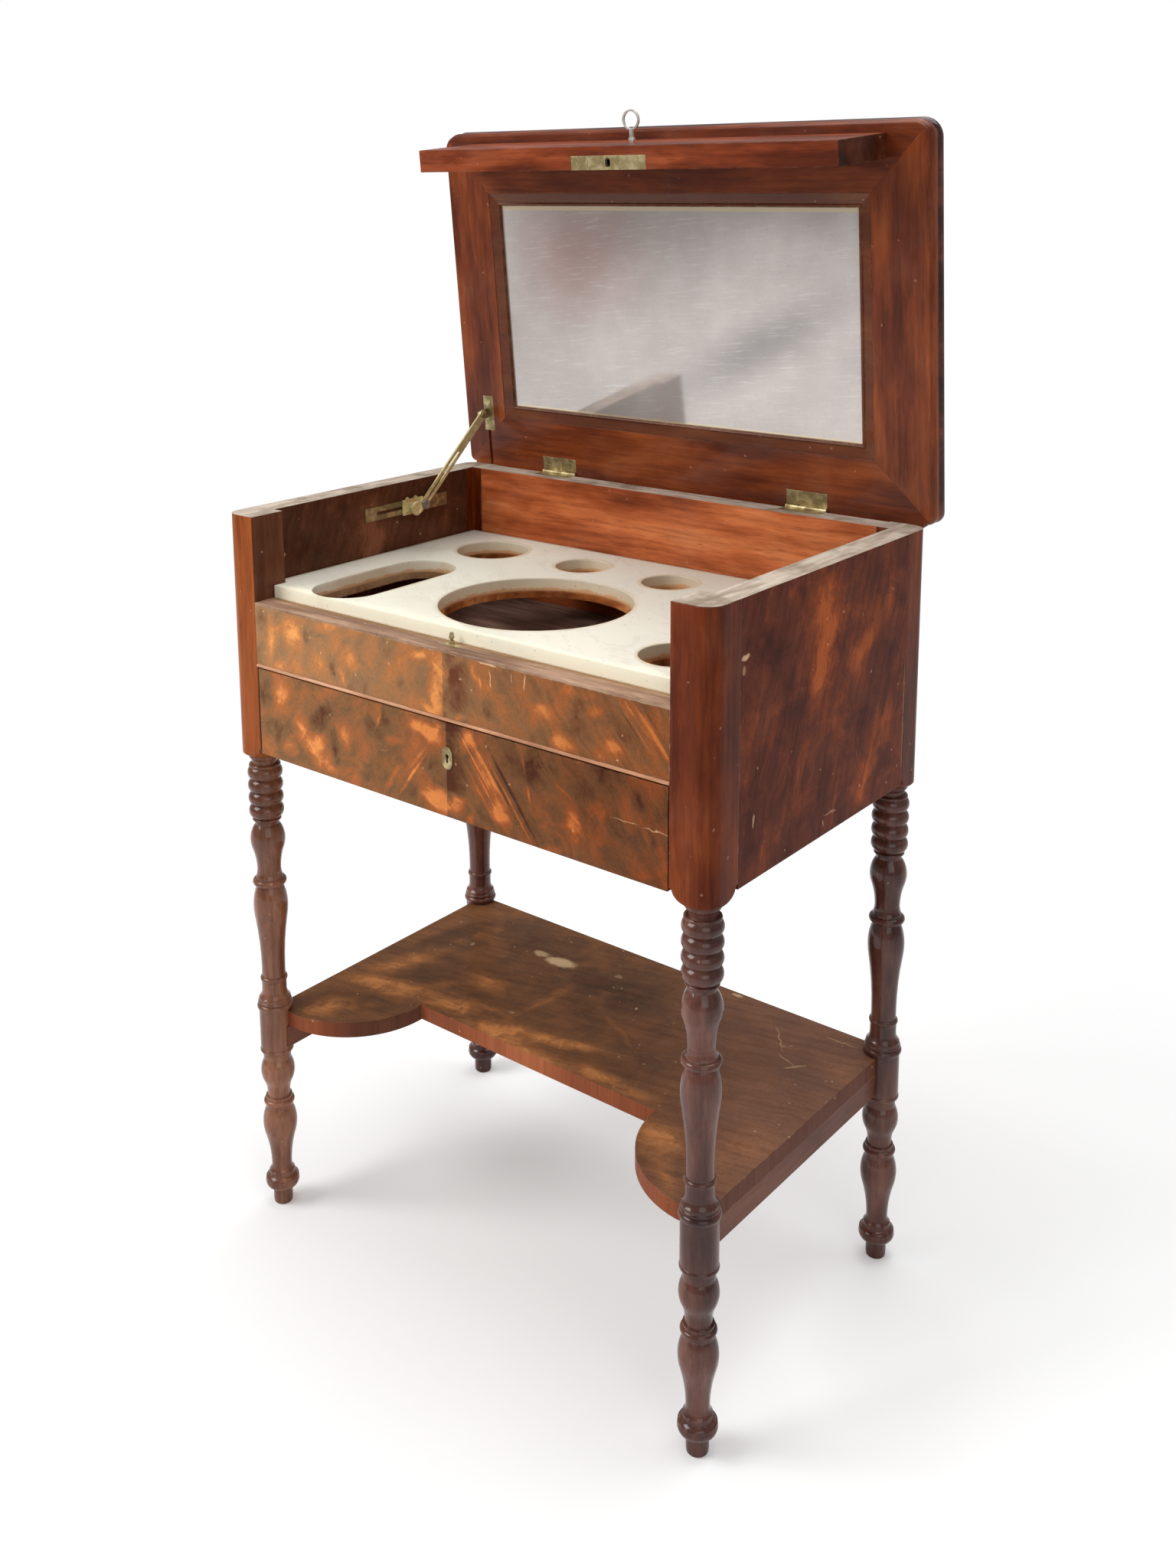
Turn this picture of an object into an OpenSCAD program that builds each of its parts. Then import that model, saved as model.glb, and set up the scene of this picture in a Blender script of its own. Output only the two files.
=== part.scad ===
// Lift-top washstand on four turned legs, drawn in millimetres.
// The floor is Z = 0, X runs to the right and Y to the back.
// The origin is the middle of the footprint.
// The lid stands open, as in daily use, held by the brass stay on the left.

/* [Case] */
// width of the case over the corner posts
case_w = 640; // [560:1:760]
// depth of the case over the corner posts
case_d = 400; // [350:1:480]
// height of the top edge of the case above the floor
case_top = 840; // [760:1:900]
// height of the lower edge of the case above the floor
case_bottom = 572; // [520:1:620]
// side of the square corner posts
post_w = 44; // [36:1:56]
// radius on the outer corner of each post
post_round = 18; // [4:1:22]
// thickness of the side panels
side_t = 30; // [18:1:34]
// thickness of the back panel
back_t = 28; // [16:1:34]
// how far the back panel lies in front of the back of the posts
back_inset = 3; // [0:0.5:8]
// thickness of the upper front panel
front_t = 22; // [16:1:28]
// height of the ledge on the upper front panel
ledge_z = 745.5; // [700:0.5:780]
// thickness of the ledge strip
ledge_t = 3; // [2:0.5:6]
// height of the bead between the front panel and the drawer
bead_z = 672.5; // [640:0.5:700]
// height of that bead
bead_h = 4; // [3:0.5:8]
// how far the bead stands proud of the front
bead_out = 1.2; // [0.5:0.1:3]

/* [Marble] */
// thickness of the marble slab
marble_t = 14; // [10:0.5:22]
// gap between the slab and the wood round it
marble_gap = 1.5; // [0.5:0.1:4]
// thickness of the wooden board under the slab
sub_t = 8; // [6:0.5:14]
// radius of the basin hole
basin_r = 103; // [80:1:115]
// distance of the basin hole's centre from the front panel
basin_in = 126; // [110:1:150]
// radius of the ends of the long side hole, and half its width
tray_r = 40; // [25:1:45]
// distance between the two end centres of the long side hole
tray_len = 112; // [40:1:130]
// distance of the long side hole's middle from the left wall
tray_wall = 91; // [80:1:110]
// distance of the long side hole's centre from the front panel
tray_in = 102; // [90:1:130]
// radius of the large hole at the back left
jug_r = 43; // [25:1:46]
// radius of the two small back holes
cup_r = 31; // [20:1:38]
// half the distance between the two small back holes
cup_x = 61; // [45:1:75]
// distance of the back row of holes from the back panel
cup_in = 66; // [50:1:80]
// radius of the hole at the front right
glass_r = 38; // [25:1:44]
// distance of the front right hole's middle from the right wall
glass_wall = 68; // [50:1:85]
// distance of the front right hole from the front panel
glass_in = 68; // [50:1:90]

/* [Drawer] */
// thickness of the drawer front
drawer_front_t = 20; // [14:1:24]
// gap between the drawer and the back panel
drawer_back_gap = 27; // [15:1:80]
// height of the drawer sides
drawer_side_h = 78; // [50:1:84]
// thickness of the drawer sides and back
drawer_side_t = 10; // [8:0.5:14]
// thickness of the drawer bottom
drawer_bottom_t = 6; // [4:0.5:9]
// gap round the drawer front
drawer_gap = 1.5; // [0.5:0.1:3]
// thickness of the runners under the drawer
runner_t = 12; // [8:0.5:16]
// width of the runners
runner_w = 30; // [20:1:45]
// width of the escutcheon on the drawer
scut_w = 13; // [9:0.5:18]
// height of the escutcheon on the drawer
scut_h = 23; // [16:0.5:32]
// distance of the escutcheon from the middle
scut_x = 9; // [0:0.5:14]
// height of the escutcheon above the underside of the drawer
scut_up = 64; // [40:1:72]
// thickness of the escutcheon
scut_t = 1.2; // [0.6:0.1:2]

/* [Shelf] */
// height of the top of the shelf
shelf_z = 249.5; // [220:0.5:300]
// thickness of the shelf
shelf_t = 18; // [12:0.5:24]
// radius of the two rounded front lobes
lobe_r = 107; // [70:1:120]
// distance of the recessed front edge from the middle
shelf_front = 68; // [40:1:80]
// how far the shelf runs past the axis of the back legs
shelf_back = 8; // [0:1:14]
// height of the rails under the shelf ends
rail_h = 26; // [16:1:36]
// thickness of those rails
rail_t = 22; // [14:1:28]
// gap between the shelf or rails and the legs
leg_fit = 0.15; // [0.05:0.05:0.5]

/* [Legs] */
// radius of the beads and bulbs
bulb_r = 19.7; // [16:0.1:21.5]
// radius of the plain length that the shelf meets
shaft_r = 18.6; // [15:0.1:20]
// radius of the slim parts
waist_r = 13.5; // [11:0.1:15]
// radius of the neck above the foot ring
ankle_r = 11.6; // [9:0.1:13]
// radius of the small foot under the ring
foot_r = 11.2; // [8:0.1:13]

/* [Lid] */
// angle by which the lid stands open
open_angle = 84.7; // [0:0.1:90]
// how far the lid reaches past each side of the case
lid_side = 5; // [2:0.5:15]
// how far the lid reaches past the front of the case
lid_front = 12; // [2:0.5:20]
// how far the lid reaches behind the hinge line
lid_rear = 3; // [0:0.5:4]
// thickness of the outer board of the lid
lid_board_t = 16; // [12:0.5:22]
// thickness of the mirror frame
lid_frame_t = 14; // [12:0.5:20]
// radius of the front corners of the lid
lid_corner = 20; // [14:1:30]
// radius of the rear corners of the lid
lid_corner_rear = 12; // [11:0.5:20]
// radius of the quarter round on the frame
ovolo_r = 9; // [5:0.5:10]
// gap between the closed lid and the case
lid_gap = 1; // [0.5:0.1:3]
// how far the hinge line lies behind the case
hinge_out = 1; // [0:0.5:6]
// height of the hinge line above the top of the case
hinge_up = 0.6; // [0.3:0.1:2]
// how far the mirror frame reaches in from the side walls of the case
stile_in = 33; // [20:1:60]
// width of the frame at the front
rail_front_w = 72; // [50:1:90]
// distance from the hinge line to the rear edge of the frame opening
open_rear = 63; // [50:1:90]
// width of the sloping moulding round the mirror
mould_w = 15; // [10:0.5:22]
// thickness of the mirror glass
glass_t = 3; // [2:0.5:5]
// depth of the glass below the face of the frame
glass_deep = 5; // [3:0.5:7]
// how far the moulding laps over the glass
glass_lap = 3; // [2:0.5:6]

/* [Lid front board] */
// how far the board lies behind the front of the posts
apron_in = 1; // [0:0.5:12]
// thickness of the board
apron_t = 25; // [16:0.5:30]
// gap between the board and the ledge when closed
apron_gap = 0.5; // [0.3:0.1:2]
// gap between the board and the posts at each end
apron_side = 1; // [0.5:0.1:3]
// length of the brass plate on its edge
selv_l = 99; // [70:1:120]
// width of that plate
selv_w = 15; // [14:0.5:18]
// thickness of that plate
selv_t = 2; // [1:0.1:3]
// distance of the plate's screws from the middle
selv_screw_x = 27; // [26:0.5:44]
// length of the hidden lock case
lock_l = 42; // [40:1:46]
// height of the lock case
lock_h = 52; // [38:1:60]
// thickness of the lock case
lock_t = 15; // [14:0.5:15]
// distance from the frame to the key
key_n = 50; // [40:0.5:60]
// radius of the key shank
key_r = 2.5; // [1.8:0.1:3]
// distance from the board to the middle of the key ring
key_out = 24; // [20:0.5:36]
// radius of the key ring
bow_r = 11; // [7:0.5:13]
// thickness of the key ring
bow_t = 2.2; // [2.2:0.1:4]
// radius of the peg on the ledge
peg_r = 2.8; // [1.8:0.1:3]
// height of that peg
peg_h = 12; // [8:0.5:13]

/* [Hinges] */
// length of a hinge
hinge_l = 51; // [38:1:70]
// distance of each hinge from the middle
hinge_x = 174; // [120:1:220]
// width of a hinge leaf
leaf_w = 15; // [10:0.5:20]
// thickness of a leaf
leaf_t = 1.8; // [1:0.1:2.5]
// radius of the hinge barrel
barrel_r = 3; // [2.4:0.1:4]
// radius of the hinge pin
pin_r = 1.4; // [1:0.1:1.8]
// gap round the pin in the moving barrel
pin_play = 0.06; // [0.02:0.01:0.1]
// radius of a screw head
screw_r = 2.6; // [2:0.1:3.2]
// length of a screw shank
screw_l = 9; // [6:0.5:12]

/* [Stay] */
// distance along the lid from the hinge line to the upper pivot
stay_s = 66; // [55:0.5:80]
// distance of the upper pivot from the face of the frame
stay_n = 12; // [10:0.5:16]
// distance of the lower pivot from the hinge line when the lid stands open
slider_in = 127; // [115:0.5:140]
// height of the slotted plate's centre line
slider_z = 809; // [795:0.5:815]
// width of the arm
arm_w = 11; // [8:0.5:14]
// thickness of the arm
arm_t = 2; // [1.5:0.1:3]
// width of the slit in the arm
slit_w = 3; // [2:0.1:4]
// length of the slit in the arm
slit_l = 74; // [50:1:90]
// radius of the two pivot studs
stud_r = 2.2; // [1.6:0.1:2.6]
// gap between the slotted plate and the back panel
plate_in = 51; // [30:1:70]
// length of the slotted plate
plate_l = 138; // [120:1:160]
// height of the slotted plate
plate_h = 16; // [12:0.5:22]
// thickness of the slotted plate
plate_t = 2; // [1:0.1:3]
// height of the slot
slot_h = 4; // [3:0.1:6]
// length of the sliding saddle in front of the lower pivot
saddle_front = 34; // [26:1:40]
// height of the saddle
saddle_h = 19; // [14:0.5:24]
// thickness of the saddle
saddle_t = 1.6; // [1:0.1:2.4]
// distance from the lower pivot to the thumbscrew
thumb_y = 24; // [18:0.5:28]
// radius of the thumbscrew head
thumb_r = 8.5; // [6:0.5:10]
// gap between the parts of the stay
stay_gap = 0.4; // [0.3:0.05:0.8]

/* [Output] */
// the piece to draw, or all of them

/* [Hidden] */
$fn = 64;

// colours for the preview
wood = [0.36, 0.16, 0.09];
flame = [0.55, 0.30, 0.14];
pale_wood = [0.62, 0.42, 0.24];
leg_wood = [0.27, 0.12, 0.09];
brass = [0.72, 0.58, 0.30];
steel = [0.62, 0.62, 0.60];
stone = [0.93, 0.91, 0.84];
silver = [0.75, 0.77, 0.79];

// small overrun that keeps cutters clear of the faces they pass
e = 1;
half_w = case_w / 2;
half_d = case_d / 2;
case_h = case_top - case_bottom;
leg_x = half_w - post_w / 2;
leg_y = half_d - post_w / 2;
in_x = half_w - side_t;
post_x = half_w - post_w;
post_y = half_d - post_w;
in_back = half_d - back_inset - back_t;
front_in = half_d - front_t;
hinge_y = half_d + hinge_out;
apron_back = hinge_y + half_d - apron_in - apron_t;
lid_reach = hinge_y + half_d + lid_front;

// marble and the boards under it
marble_z = ledge_z;
marble_top = marble_z + marble_t;
marble_front = apron_back - hinge_y - marble_gap / 2;
sub_z = ledge_z - sub_t;
bearer = 12;
bearer_gap = 1;
basin_y = front_in - basin_in;
tray_x = in_x - tray_wall;
tray_y = front_in - tray_in;
cup_y = in_back - cup_in;
glass_x = in_x - glass_wall;
glass_y = front_in - glass_in;

// drawer
drawer_top = bead_z - drawer_gap;
drawer_low = case_bottom + 1;
runner_gap = 0.3;
side_low = case_bottom + runner_t + runner_gap;
drawer_half = post_x - drawer_gap;
drawer_side_in = 3;
drawer_side_x = drawer_half - drawer_side_in;
guide_gap = 0.7;
guide_h = 14;
drawer_bottom_z = side_low + 4;
kicker_z = side_low + drawer_side_h + 1.5;
scut_z = drawer_low + scut_up;
rail_under = shelf_z - shelf_t - rail_h;
dust_z = bead_z + bead_h - 1;
dust_t = 8;

// lid, in its own frame: the hinge line is the X axis and the closed lid reaches along -Y
hinge_z = case_top + hinge_up;
face_z = lid_gap - hinge_up;
frame_top = face_z + lid_frame_t;
lid_top = frame_top + lid_board_t;
lid_x = half_w + lid_side;
open_x = in_x - stile_in;
stile_w = lid_x - open_x;
open_front = lid_reach - rail_front_w;
glass_x_half = open_x - mould_w + glass_lap;
glass_s0 = open_rear + mould_w - glass_lap;
glass_s1 = open_front - mould_w + glass_lap;
apron_low = ledge_z + apron_gap - hinge_z;
apron_x = post_x - apron_side;
apron_front = apron_back + apron_t;
selv_s = apron_back + selv_w / 2;
lock_top = apron_low + selv_t + lock_h;
key_z = face_z - key_n;

// stay, whose arm lies in one plane beside the left wall
wall_x = -in_x;
slider_y = hinge_y - slider_in;
plate_back = in_back - plate_in;
plate_front = plate_l - plate_back;
plate_x = wall_x + plate_t;
saddle_x = plate_x + stay_gap;
arm_x = saddle_x + saddle_t + stay_gap;
stay_py = hinge_y - stay_s * cos(open_angle) - (stay_n - face_z) * sin(open_angle);
stay_pz = hinge_z + stay_s * sin(open_angle) - (stay_n - face_z) * cos(open_angle);
arm_dy = stay_py - slider_y;
arm_dz = stay_pz - slider_z;
arm_len = sqrt(arm_dy * arm_dy + arm_dz * arm_dz);
arm_tilt = atan2(arm_dz, arm_dy);
thumb_x = arm_x + arm_t + 12;

// helpers

// a child drawn in the lid's own frame, turned to where the lid stands
module in_lid()
  translate([0, hinge_y, hinge_z])
  rotate([-open_angle, 0, 0])
  children();

// a copy on each side of the middle
module both_sides() {
  children();
  mirror([1, 0, 0]) children();
}

// a box given by its two opposite corners
module box(a, b)
  translate(a)
  cube([b[0] - a[0], b[1] - a[1], b[2] - a[2]]);

// half section of a small ring or bead round a leg
module ring_2d(z, r, h)
  translate([r - h, z])
  circle(h);

// half section of a flat cylinder round a leg
module band_2d(z0, z1, r)
  translate([0, z0])
  square([r, z1 - z0]);

// half section of a vase: a bulb of radius up above its widest place and low below it,
// run into a hollow that is slimmest at z_min
module vase_2d(z_max, r_max, z_top, up, low, z_min, r_min) {
  fall = z_max - z_min;
  both = ((r_max - r_min) * (r_max - r_min) + fall * fall) / (2 * (r_max - r_min));
  hollow = both - low;
  z_join = z_max - low * fall / both;
  r_join = r_max - low + low * (r_min + hollow - r_max + low) / both;
  intersection() {
    translate([r_max - up, z_max]) circle(up);
    translate([0, z_max]) square([r_max + e, z_top - z_max]);
  }
  intersection() {
    translate([r_max - low, z_max]) circle(low);
    translate([0, z_join]) square([r_max + e, fall - (z_join - z_min)]);
  }
  difference() {
    translate([0, z_min]) square([r_join - 0.02, z_join - z_min + 0.1]);
    translate([r_min + hollow, z_min]) circle(hollow);
  }
}

// half section of the foot and the ring above it
module foot_2d() {
  polygon([[0, 0], [foot_r - 1.6, 0], [foot_r - 0.4, 1.4], [foot_r, 6], [foot_r, 24], [0, 24]]);
  translate([bulb_r - 9, 29]) circle(9);
  band_2d(20, 38, bulb_r - 9);
  band_2d(29, 34, bulb_r - 0.6);
  difference() {
    band_2d(34, 50, bulb_r - 5);
    translate([ankle_r + 10, 50]) circle(10);
    translate([ankle_r + 6, 40]) square([10, 12]);
  }
}

// half section of the two vases below the shelf; Z is measured from under the shelf rails
module lower_vases_2d() {
  vase_2d(-99.5, bulb_r + 0.1, -80, 44, 52, -156, ankle_r);
  ring_2d(-73, 17.9, 3.4);
  band_2d(-80, -66, 15.2);
  vase_2d(-33.5, bulb_r - 0.1, -17, 30, 29, -60, waist_r - 0.2);
  band_2d(-67, -60, waist_r - 0.2);
  band_2d(-18, -9, 15.9);
  ring_2d(-6, 19.3, 3.6);
  band_2d(-9.6, -2.4, 17.4);
}

// half section of the rings just above the shelf; Z is measured from the top of the shelf
module collar_2d() {
  ring_2d(5, bulb_r + 1, 4);
  ring_2d(10.7, bulb_r - 0.4, 2.2);
  band_2d(1, 12.9, bulb_r - 3);
  difference() {
    band_2d(12.5, 24.5, bulb_r - 1.6);
    translate([14.2 + 12, 24.5]) circle(12);
  }
  band_2d(23.5, 36.5, 14.2);
  ring_2d(38.9, 15.6, 3.2);
  band_2d(35.7, 42.1, 14.2);
}

// half section of the upper vases and beads; Z is measured down from the case
module upper_vases_2d() {
  vase_2d(-192.5, bulb_r, -167.5, 62, 90, -270, waist_r);
  ring_2d(-163.5, 19.2, 4);
  band_2d(-167.5, -158, 15.4);
  difference() {
    band_2d(-159, -150, 15.4);
    translate([waist_r + 20, -149]) circle(20);
  }
  band_2d(-159, -148, waist_r - 0.1);
  vase_2d(-112, bulb_r, -93, 31, 30, -149, waist_r - 0.1);
  band_2d(-94, -84, waist_r);
  ring_2d(-87.4, 16.3, 1.7);
  // four beads under a thin one
  for (i = [0 : 3])
    intersection() {
      translate([bulb_r - 9.5, -77.2 + 15.2 * i]) circle(9.5);
      band_2d(-84.8 + 15.2 * i, -69.6 + 15.2 * i, bulb_r + e);
    }
  ring_2d(-23, 17.8, 2);
  band_2d(-25, -8, waist_r + 0.7);
}

// half section of the whole turning; its groups follow the floor, the shelf and the case
module turning_2d() {
  foot_2d();
  band_2d(24, case_bottom - 8, 10);
  band_2d(48, rail_under - 150, ankle_r);
  translate([0, rail_under]) lower_vases_2d();
  band_2d(rail_under - 3, shelf_z + 1.5, shaft_r);
  translate([0, shelf_z]) collar_2d();
  band_2d(shelf_z + 23.5, case_bottom - 269, waist_r);
  translate([0, case_bottom]) upper_vases_2d();
}

// half section that shapes the foot of the square post
module pommel_2d() {
  difference() {
    band_2d(case_bottom - 13, case_bottom - 9, 17);
    translate([waist_r + 10.7, case_bottom - 20]) circle(10);
  }
  difference() {
    band_2d(case_bottom - 20, case_bottom - 12.5, 17);
    translate([waist_r + 10.7, case_bottom - 20]) circle(10);
  }
  intersection() {
    translate([15, case_bottom + 5]) circle(14);
    band_2d(case_bottom - 9, case_bottom + 5, 40);
  }
  band_2d(case_bottom - 9, case_bottom + 5, 15);
  band_2d(case_bottom + 5, case_top, 40);
}

// plan of a post whose rounded corner points to +X and +Y
module post_2d() {
  p = post_w / 2;
  difference() {
    translate([-p, -p]) square([post_w, post_w]);
    difference() {
      translate([p - post_round, p - post_round]) square([post_round + e, post_round + e]);
      translate([p - post_round, p - post_round]) circle(post_round);
    }
  }
}

// one leg and post standing on the origin, rounded corner towards +X and +Y
module leg_raw() {
  // square part, shaped round at its foot
  intersection() {
    translate([0, 0, case_bottom - 20]) linear_extrude(case_h + 20) post_2d();
    rotate_extrude() pommel_2d();
  }
  rotate_extrude() turning_2d();
}

// one leg in place; sx and sy give the corner
module leg(sx, sy)
  translate([sx * leg_x, sy * leg_y, 0])
  mirror([sx < 0 ? 1 : 0, 0, 0])
  mirror([0, sy < 0 ? 1 : 0, 0])
  leg_raw();

// back post, cut away inside so that it lies flush with the walls
module back_leg(sx)
  difference() {
    leg(sx, 1);
    box([-in_x, 0, case_bottom - 9 + e], [in_x, in_back, case_top + e]);
  }

// outline of the holes in the slab and in the board below it
module hole_plan(extra) {
  translate([0, -basin_y]) circle(basin_r + extra);
  for (y = [-tray_len / 2, tray_len / 2])
    translate([-tray_x, -tray_y + y]) circle(tray_r + extra);
  translate([-tray_x - tray_r - extra, -tray_y - tray_len / 2])
    square([2 * (tray_r + extra), tray_len]);
  translate([-tray_x + 4, cup_y - 4]) circle(jug_r + extra);
  translate([-cup_x, cup_y]) circle(cup_r + extra);
  translate([cup_x, cup_y]) circle(cup_r + extra);
  translate([glass_x, -glass_y]) circle(glass_r + extra);
}

// a board that fills the case and is notched round the front posts
module inner_board(z0, z1, y0, gap)
  difference() {
    box([-in_x + gap, y0, z0], [in_x - gap, in_back - gap, z1]);
    both_sides() box([post_x - gap, y0 - e, z0 - e], [in_x + e, -post_y + gap, z1 + e]);
  }

// half section of a lid edge; kind 1 is a full round, kind 2 a quarter round with a quirk, kind 3 square
module edge_2d(kind, r) {
  if (kind == 1) {
    square([r - lid_board_t / 2, lid_board_t]);
    intersection() {
      translate([r - lid_board_t / 2, lid_board_t / 2]) circle(lid_board_t / 2);
      translate([r - lid_board_t / 2 - 0.01, 0]) square([lid_board_t, lid_board_t]);
    }
  }
  if (kind == 2) {
    square([r - ovolo_r - 1, lid_frame_t]);
    square([r - 4, lid_frame_t]);
    intersection() {
      translate([r - ovolo_r - 1, ovolo_r]) circle(ovolo_r);
      square([r, ovolo_r]);
    }
    translate([0, ovolo_r]) square([r - 1, lid_frame_t - ovolo_r - 1.2]);
  }
  if (kind == 3) {
    square([r - 4, lid_frame_t]);
    square([r, lid_frame_t - 1.2]);
  }
}

// one straight run of an edge, outward along +X
module edge_run(kind, r, len)
  rotate([90, 0, 0])
  linear_extrude(len, center = true)
  edge_2d(kind, r);

// a board with a moulded edge and rounded corners, from -reach to rear along Y
module edge_slab(kind, h) {
  rf = lid_corner;
  rr = lid_corner_rear;
  y0 = -lid_reach + rf;
  y1 = lid_rear - rr;
  box([-lid_x + rf, y0, 0], [lid_x - rf, y1, h]);
  both_sides() {
    translate([lid_x - rf, (y0 + y1) / 2, 0]) edge_run(kind, rf, y1 - y0);
    translate([lid_x - rf, y0, 0]) rotate([0, 0, -90]) rotate_extrude(angle = 90) edge_2d(kind, rf);
    translate([lid_x - rr, y1, 0]) rotate_extrude(angle = 90) edge_2d(kind, rr);
  }
  translate([0, y0, 0]) rotate([0, 0, -90]) edge_run(kind, rf, 2 * (lid_x - rf));
  // the frame is left square at the rear, where it closes on the case
  translate([0, y1, 0]) rotate([0, 0, 90]) edge_run(kind == 2 ? 3 : kind, rr, 2 * (lid_x - rr));
}

// places of the screws along a hinge leaf
module at_hinges()
  for (x = [-hinge_x, hinge_x])
    translate([x, 0, 0]) children();
module at_leaf_screws()
  at_hinges()
  for (x = [-17, 0, 17])
    translate([x, 0, 0]) children();

// a countersunk screw whose slotted head lies flush with Z = 0 and whose shank points down
module screw(deep) {
  difference() {
    translate([0, 0, -1]) cylinder(h = 1, r = screw_r);
    translate([-0.35, -screw_r - e, -0.5]) cube([0.7, 2 * screw_r + 2 * e, e]);
  }
  translate([0, 0, -1 - deep]) cylinder(h = deep, r = screw_r / 2);
}
// the hole that such a screw fills
module screw_hole(deep) {
  translate([0, 0, -1.02]) cylinder(h = 1.02 + e, r = screw_r + 0.02);
  translate([0, 0, -1.2 - deep]) cylinder(h = deep + 1, r = screw_r / 2 + 0.02);
}

// case

module leg_front_left() color(leg_wood) leg(-1, -1);
module leg_front_right() color(leg_wood) leg(1, -1);
module leg_back_left() color(leg_wood) back_leg(-1);
module leg_back_right() color(leg_wood) back_leg(1);

// side panel between the posts, flush with their outer faces
module side_panel()
  box([in_x, -post_y, case_bottom], [half_w, post_y, case_top]);
module side_right() color(wood) side_panel();
module side_left() color(wood)
  difference() {
    mirror([1, 0, 0]) side_panel();
    stay_screw_holes();
  }

module back_panel() color(wood)
  difference() {
    box([-post_x, in_back, case_bottom], [post_x, in_back + back_t, case_top]);
    at_hinges()
      box([-hinge_l / 2 - 0.1, hinge_y - 4 - leaf_w - 0.1, case_top - leaf_t],
          [hinge_l / 2 + 0.1, half_d + e, case_top + e]);
    translate([0, hinge_y - 4 - leaf_w / 2, case_top]) at_leaf_screws() screw_hole(screw_l);
  }

module front_panel() color(flame)
  difference() {
    box([-post_x, -half_d, bead_z + bead_h], [post_x, -front_in, ledge_z - ledge_t]);
    strike_hole();
  }

// bead under the front panel, with a rounded nose
module front_bead() color(flame)
  rotate([90, 0, 90])
  linear_extrude(2 * post_x, center = true) {
    translate([-half_d - bead_out + bead_h / 2, bead_z]) square([front_t + bead_out - bead_h / 2, bead_h]);
    translate([-half_d - bead_out + bead_h / 2, bead_z + bead_h / 2]) circle(bead_h / 2);
  }

module ledge() color(wood)
  difference() {
    box([-post_x, -half_d, ledge_z - ledge_t], [post_x, -front_in, ledge_z]);
    strike_hole();
  }

module dustboard() color(pale_wood)
  inner_board(dust_z, dust_z + dust_t, -front_in, 0);

// strips above the drawer sides that stop it tipping and carry the board over it
module drawer_kickers() color(pale_wood)
  both_sides()
  box([in_x - runner_w, -post_y, kicker_z], [in_x, in_back, dust_z]);

// runners with a guide rib along the wall
module drawer_runners() color(pale_wood)
  both_sides() {
    box([in_x - runner_w, -post_y, case_bottom], [in_x, in_back, case_bottom + runner_t]);
    box([drawer_side_x + guide_gap, -post_y, case_bottom + runner_t],
        [in_x, in_back, case_bottom + runner_t + guide_h]);
  }

module sub_board() color(pale_wood)
  difference() {
    inner_board(sub_z, ledge_z, -front_in, 0);
    translate([0, 0, sub_z - e]) linear_extrude(sub_t + 2 * e) hole_plan(0);
  }

// strips on the walls that carry the board under the marble
module sub_bearers() color(pale_wood) {
  both_sides() box([in_x - bearer, -post_y, sub_z - bearer], [in_x, in_back - bearer - bearer_gap, sub_z]);
  box([-in_x, in_back - bearer, sub_z - bearer], [in_x, in_back, sub_z]);
}

module marble() color(stone)
  difference() {
    inner_board(marble_z, marble_top, -marble_front, marble_gap);
    translate([0, 0, marble_z - e]) linear_extrude(marble_t + 2 * e) hole_plan(0);
  }

// shelf

module shelf_plan() {
  translate([-leg_x - 2, -shelf_front]) square([2 * leg_x + 4, shelf_front + leg_y + shelf_back]);
  for (s = [-1, 1]) {
    translate([s * (leg_x + 2 - 25) - (s < 0 ? 25 : 0), -shelf_front - lobe_r]) square([25, lobe_r + e]);
    intersection() {
      translate([s * (leg_x + 2 - 25), -shelf_front]) circle(lobe_r);
      translate([s > 0 ? leg_x - 23 - lobe_r : 23 - leg_x, -shelf_front - lobe_r])
        square([lobe_r, lobe_r + e]);
    }
  }
}
module leg_cutters(r)
  for (sx = [-1, 1])
    for (sy = [-1, 1])
      translate([sx * leg_x, sy * leg_y]) circle(r);

module shelf() color(flame)
  translate([0, 0, shelf_z - shelf_t])
  linear_extrude(shelf_t)
  difference() {
    shelf_plan();
    leg_cutters(shaft_r + leg_fit);
  }

module shelf_rails() color(leg_wood)
  translate([0, 0, shelf_z - shelf_t - rail_h])
  linear_extrude(rail_h)
  difference() {
    for (s = [-1, 1])
      translate([s > 0 ? leg_x + 2 - rail_t : -leg_x - 2, -leg_y])
        square([rail_t, 2 * leg_y]);
    leg_cutters(shaft_r + leg_fit);
  }

// striker peg on the ledge

peg_y = hinge_y - selv_s;
peg_neck = peg_r - 1;
module strike_hole() {
  translate([-14, peg_y - 4, ledge_z - 1]) cube([28, 4 - peg_y - front_in + e, 1 + e]);
  translate([0, peg_y, ledge_z - 8]) cylinder(h = 8, r = peg_r + 0.02);
}
module lock_peg() color(brass) {
  translate([-13.95, peg_y - 3.95, ledge_z - 1]) cube([27.9, 3.95 - peg_y - front_in, 1]);
  translate([0, peg_y, ledge_z - 7.9]) cylinder(h = 7.9 + apron_gap + selv_t + 0.9, r = peg_r);
  translate([0, peg_y, ledge_z]) cylinder(h = peg_h, r = peg_neck);
  translate([0, peg_y, ledge_z + apron_gap + selv_t + 4.1]) cylinder(h = 0.7, r = peg_r);
  translate([0, peg_y, ledge_z + apron_gap + selv_t + 4.8])
    cylinder(h = peg_h - apron_gap - selv_t - 4.8, r1 = peg_r, r2 = peg_neck);
}

// slotted plate of the stay, on the left wall

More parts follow.
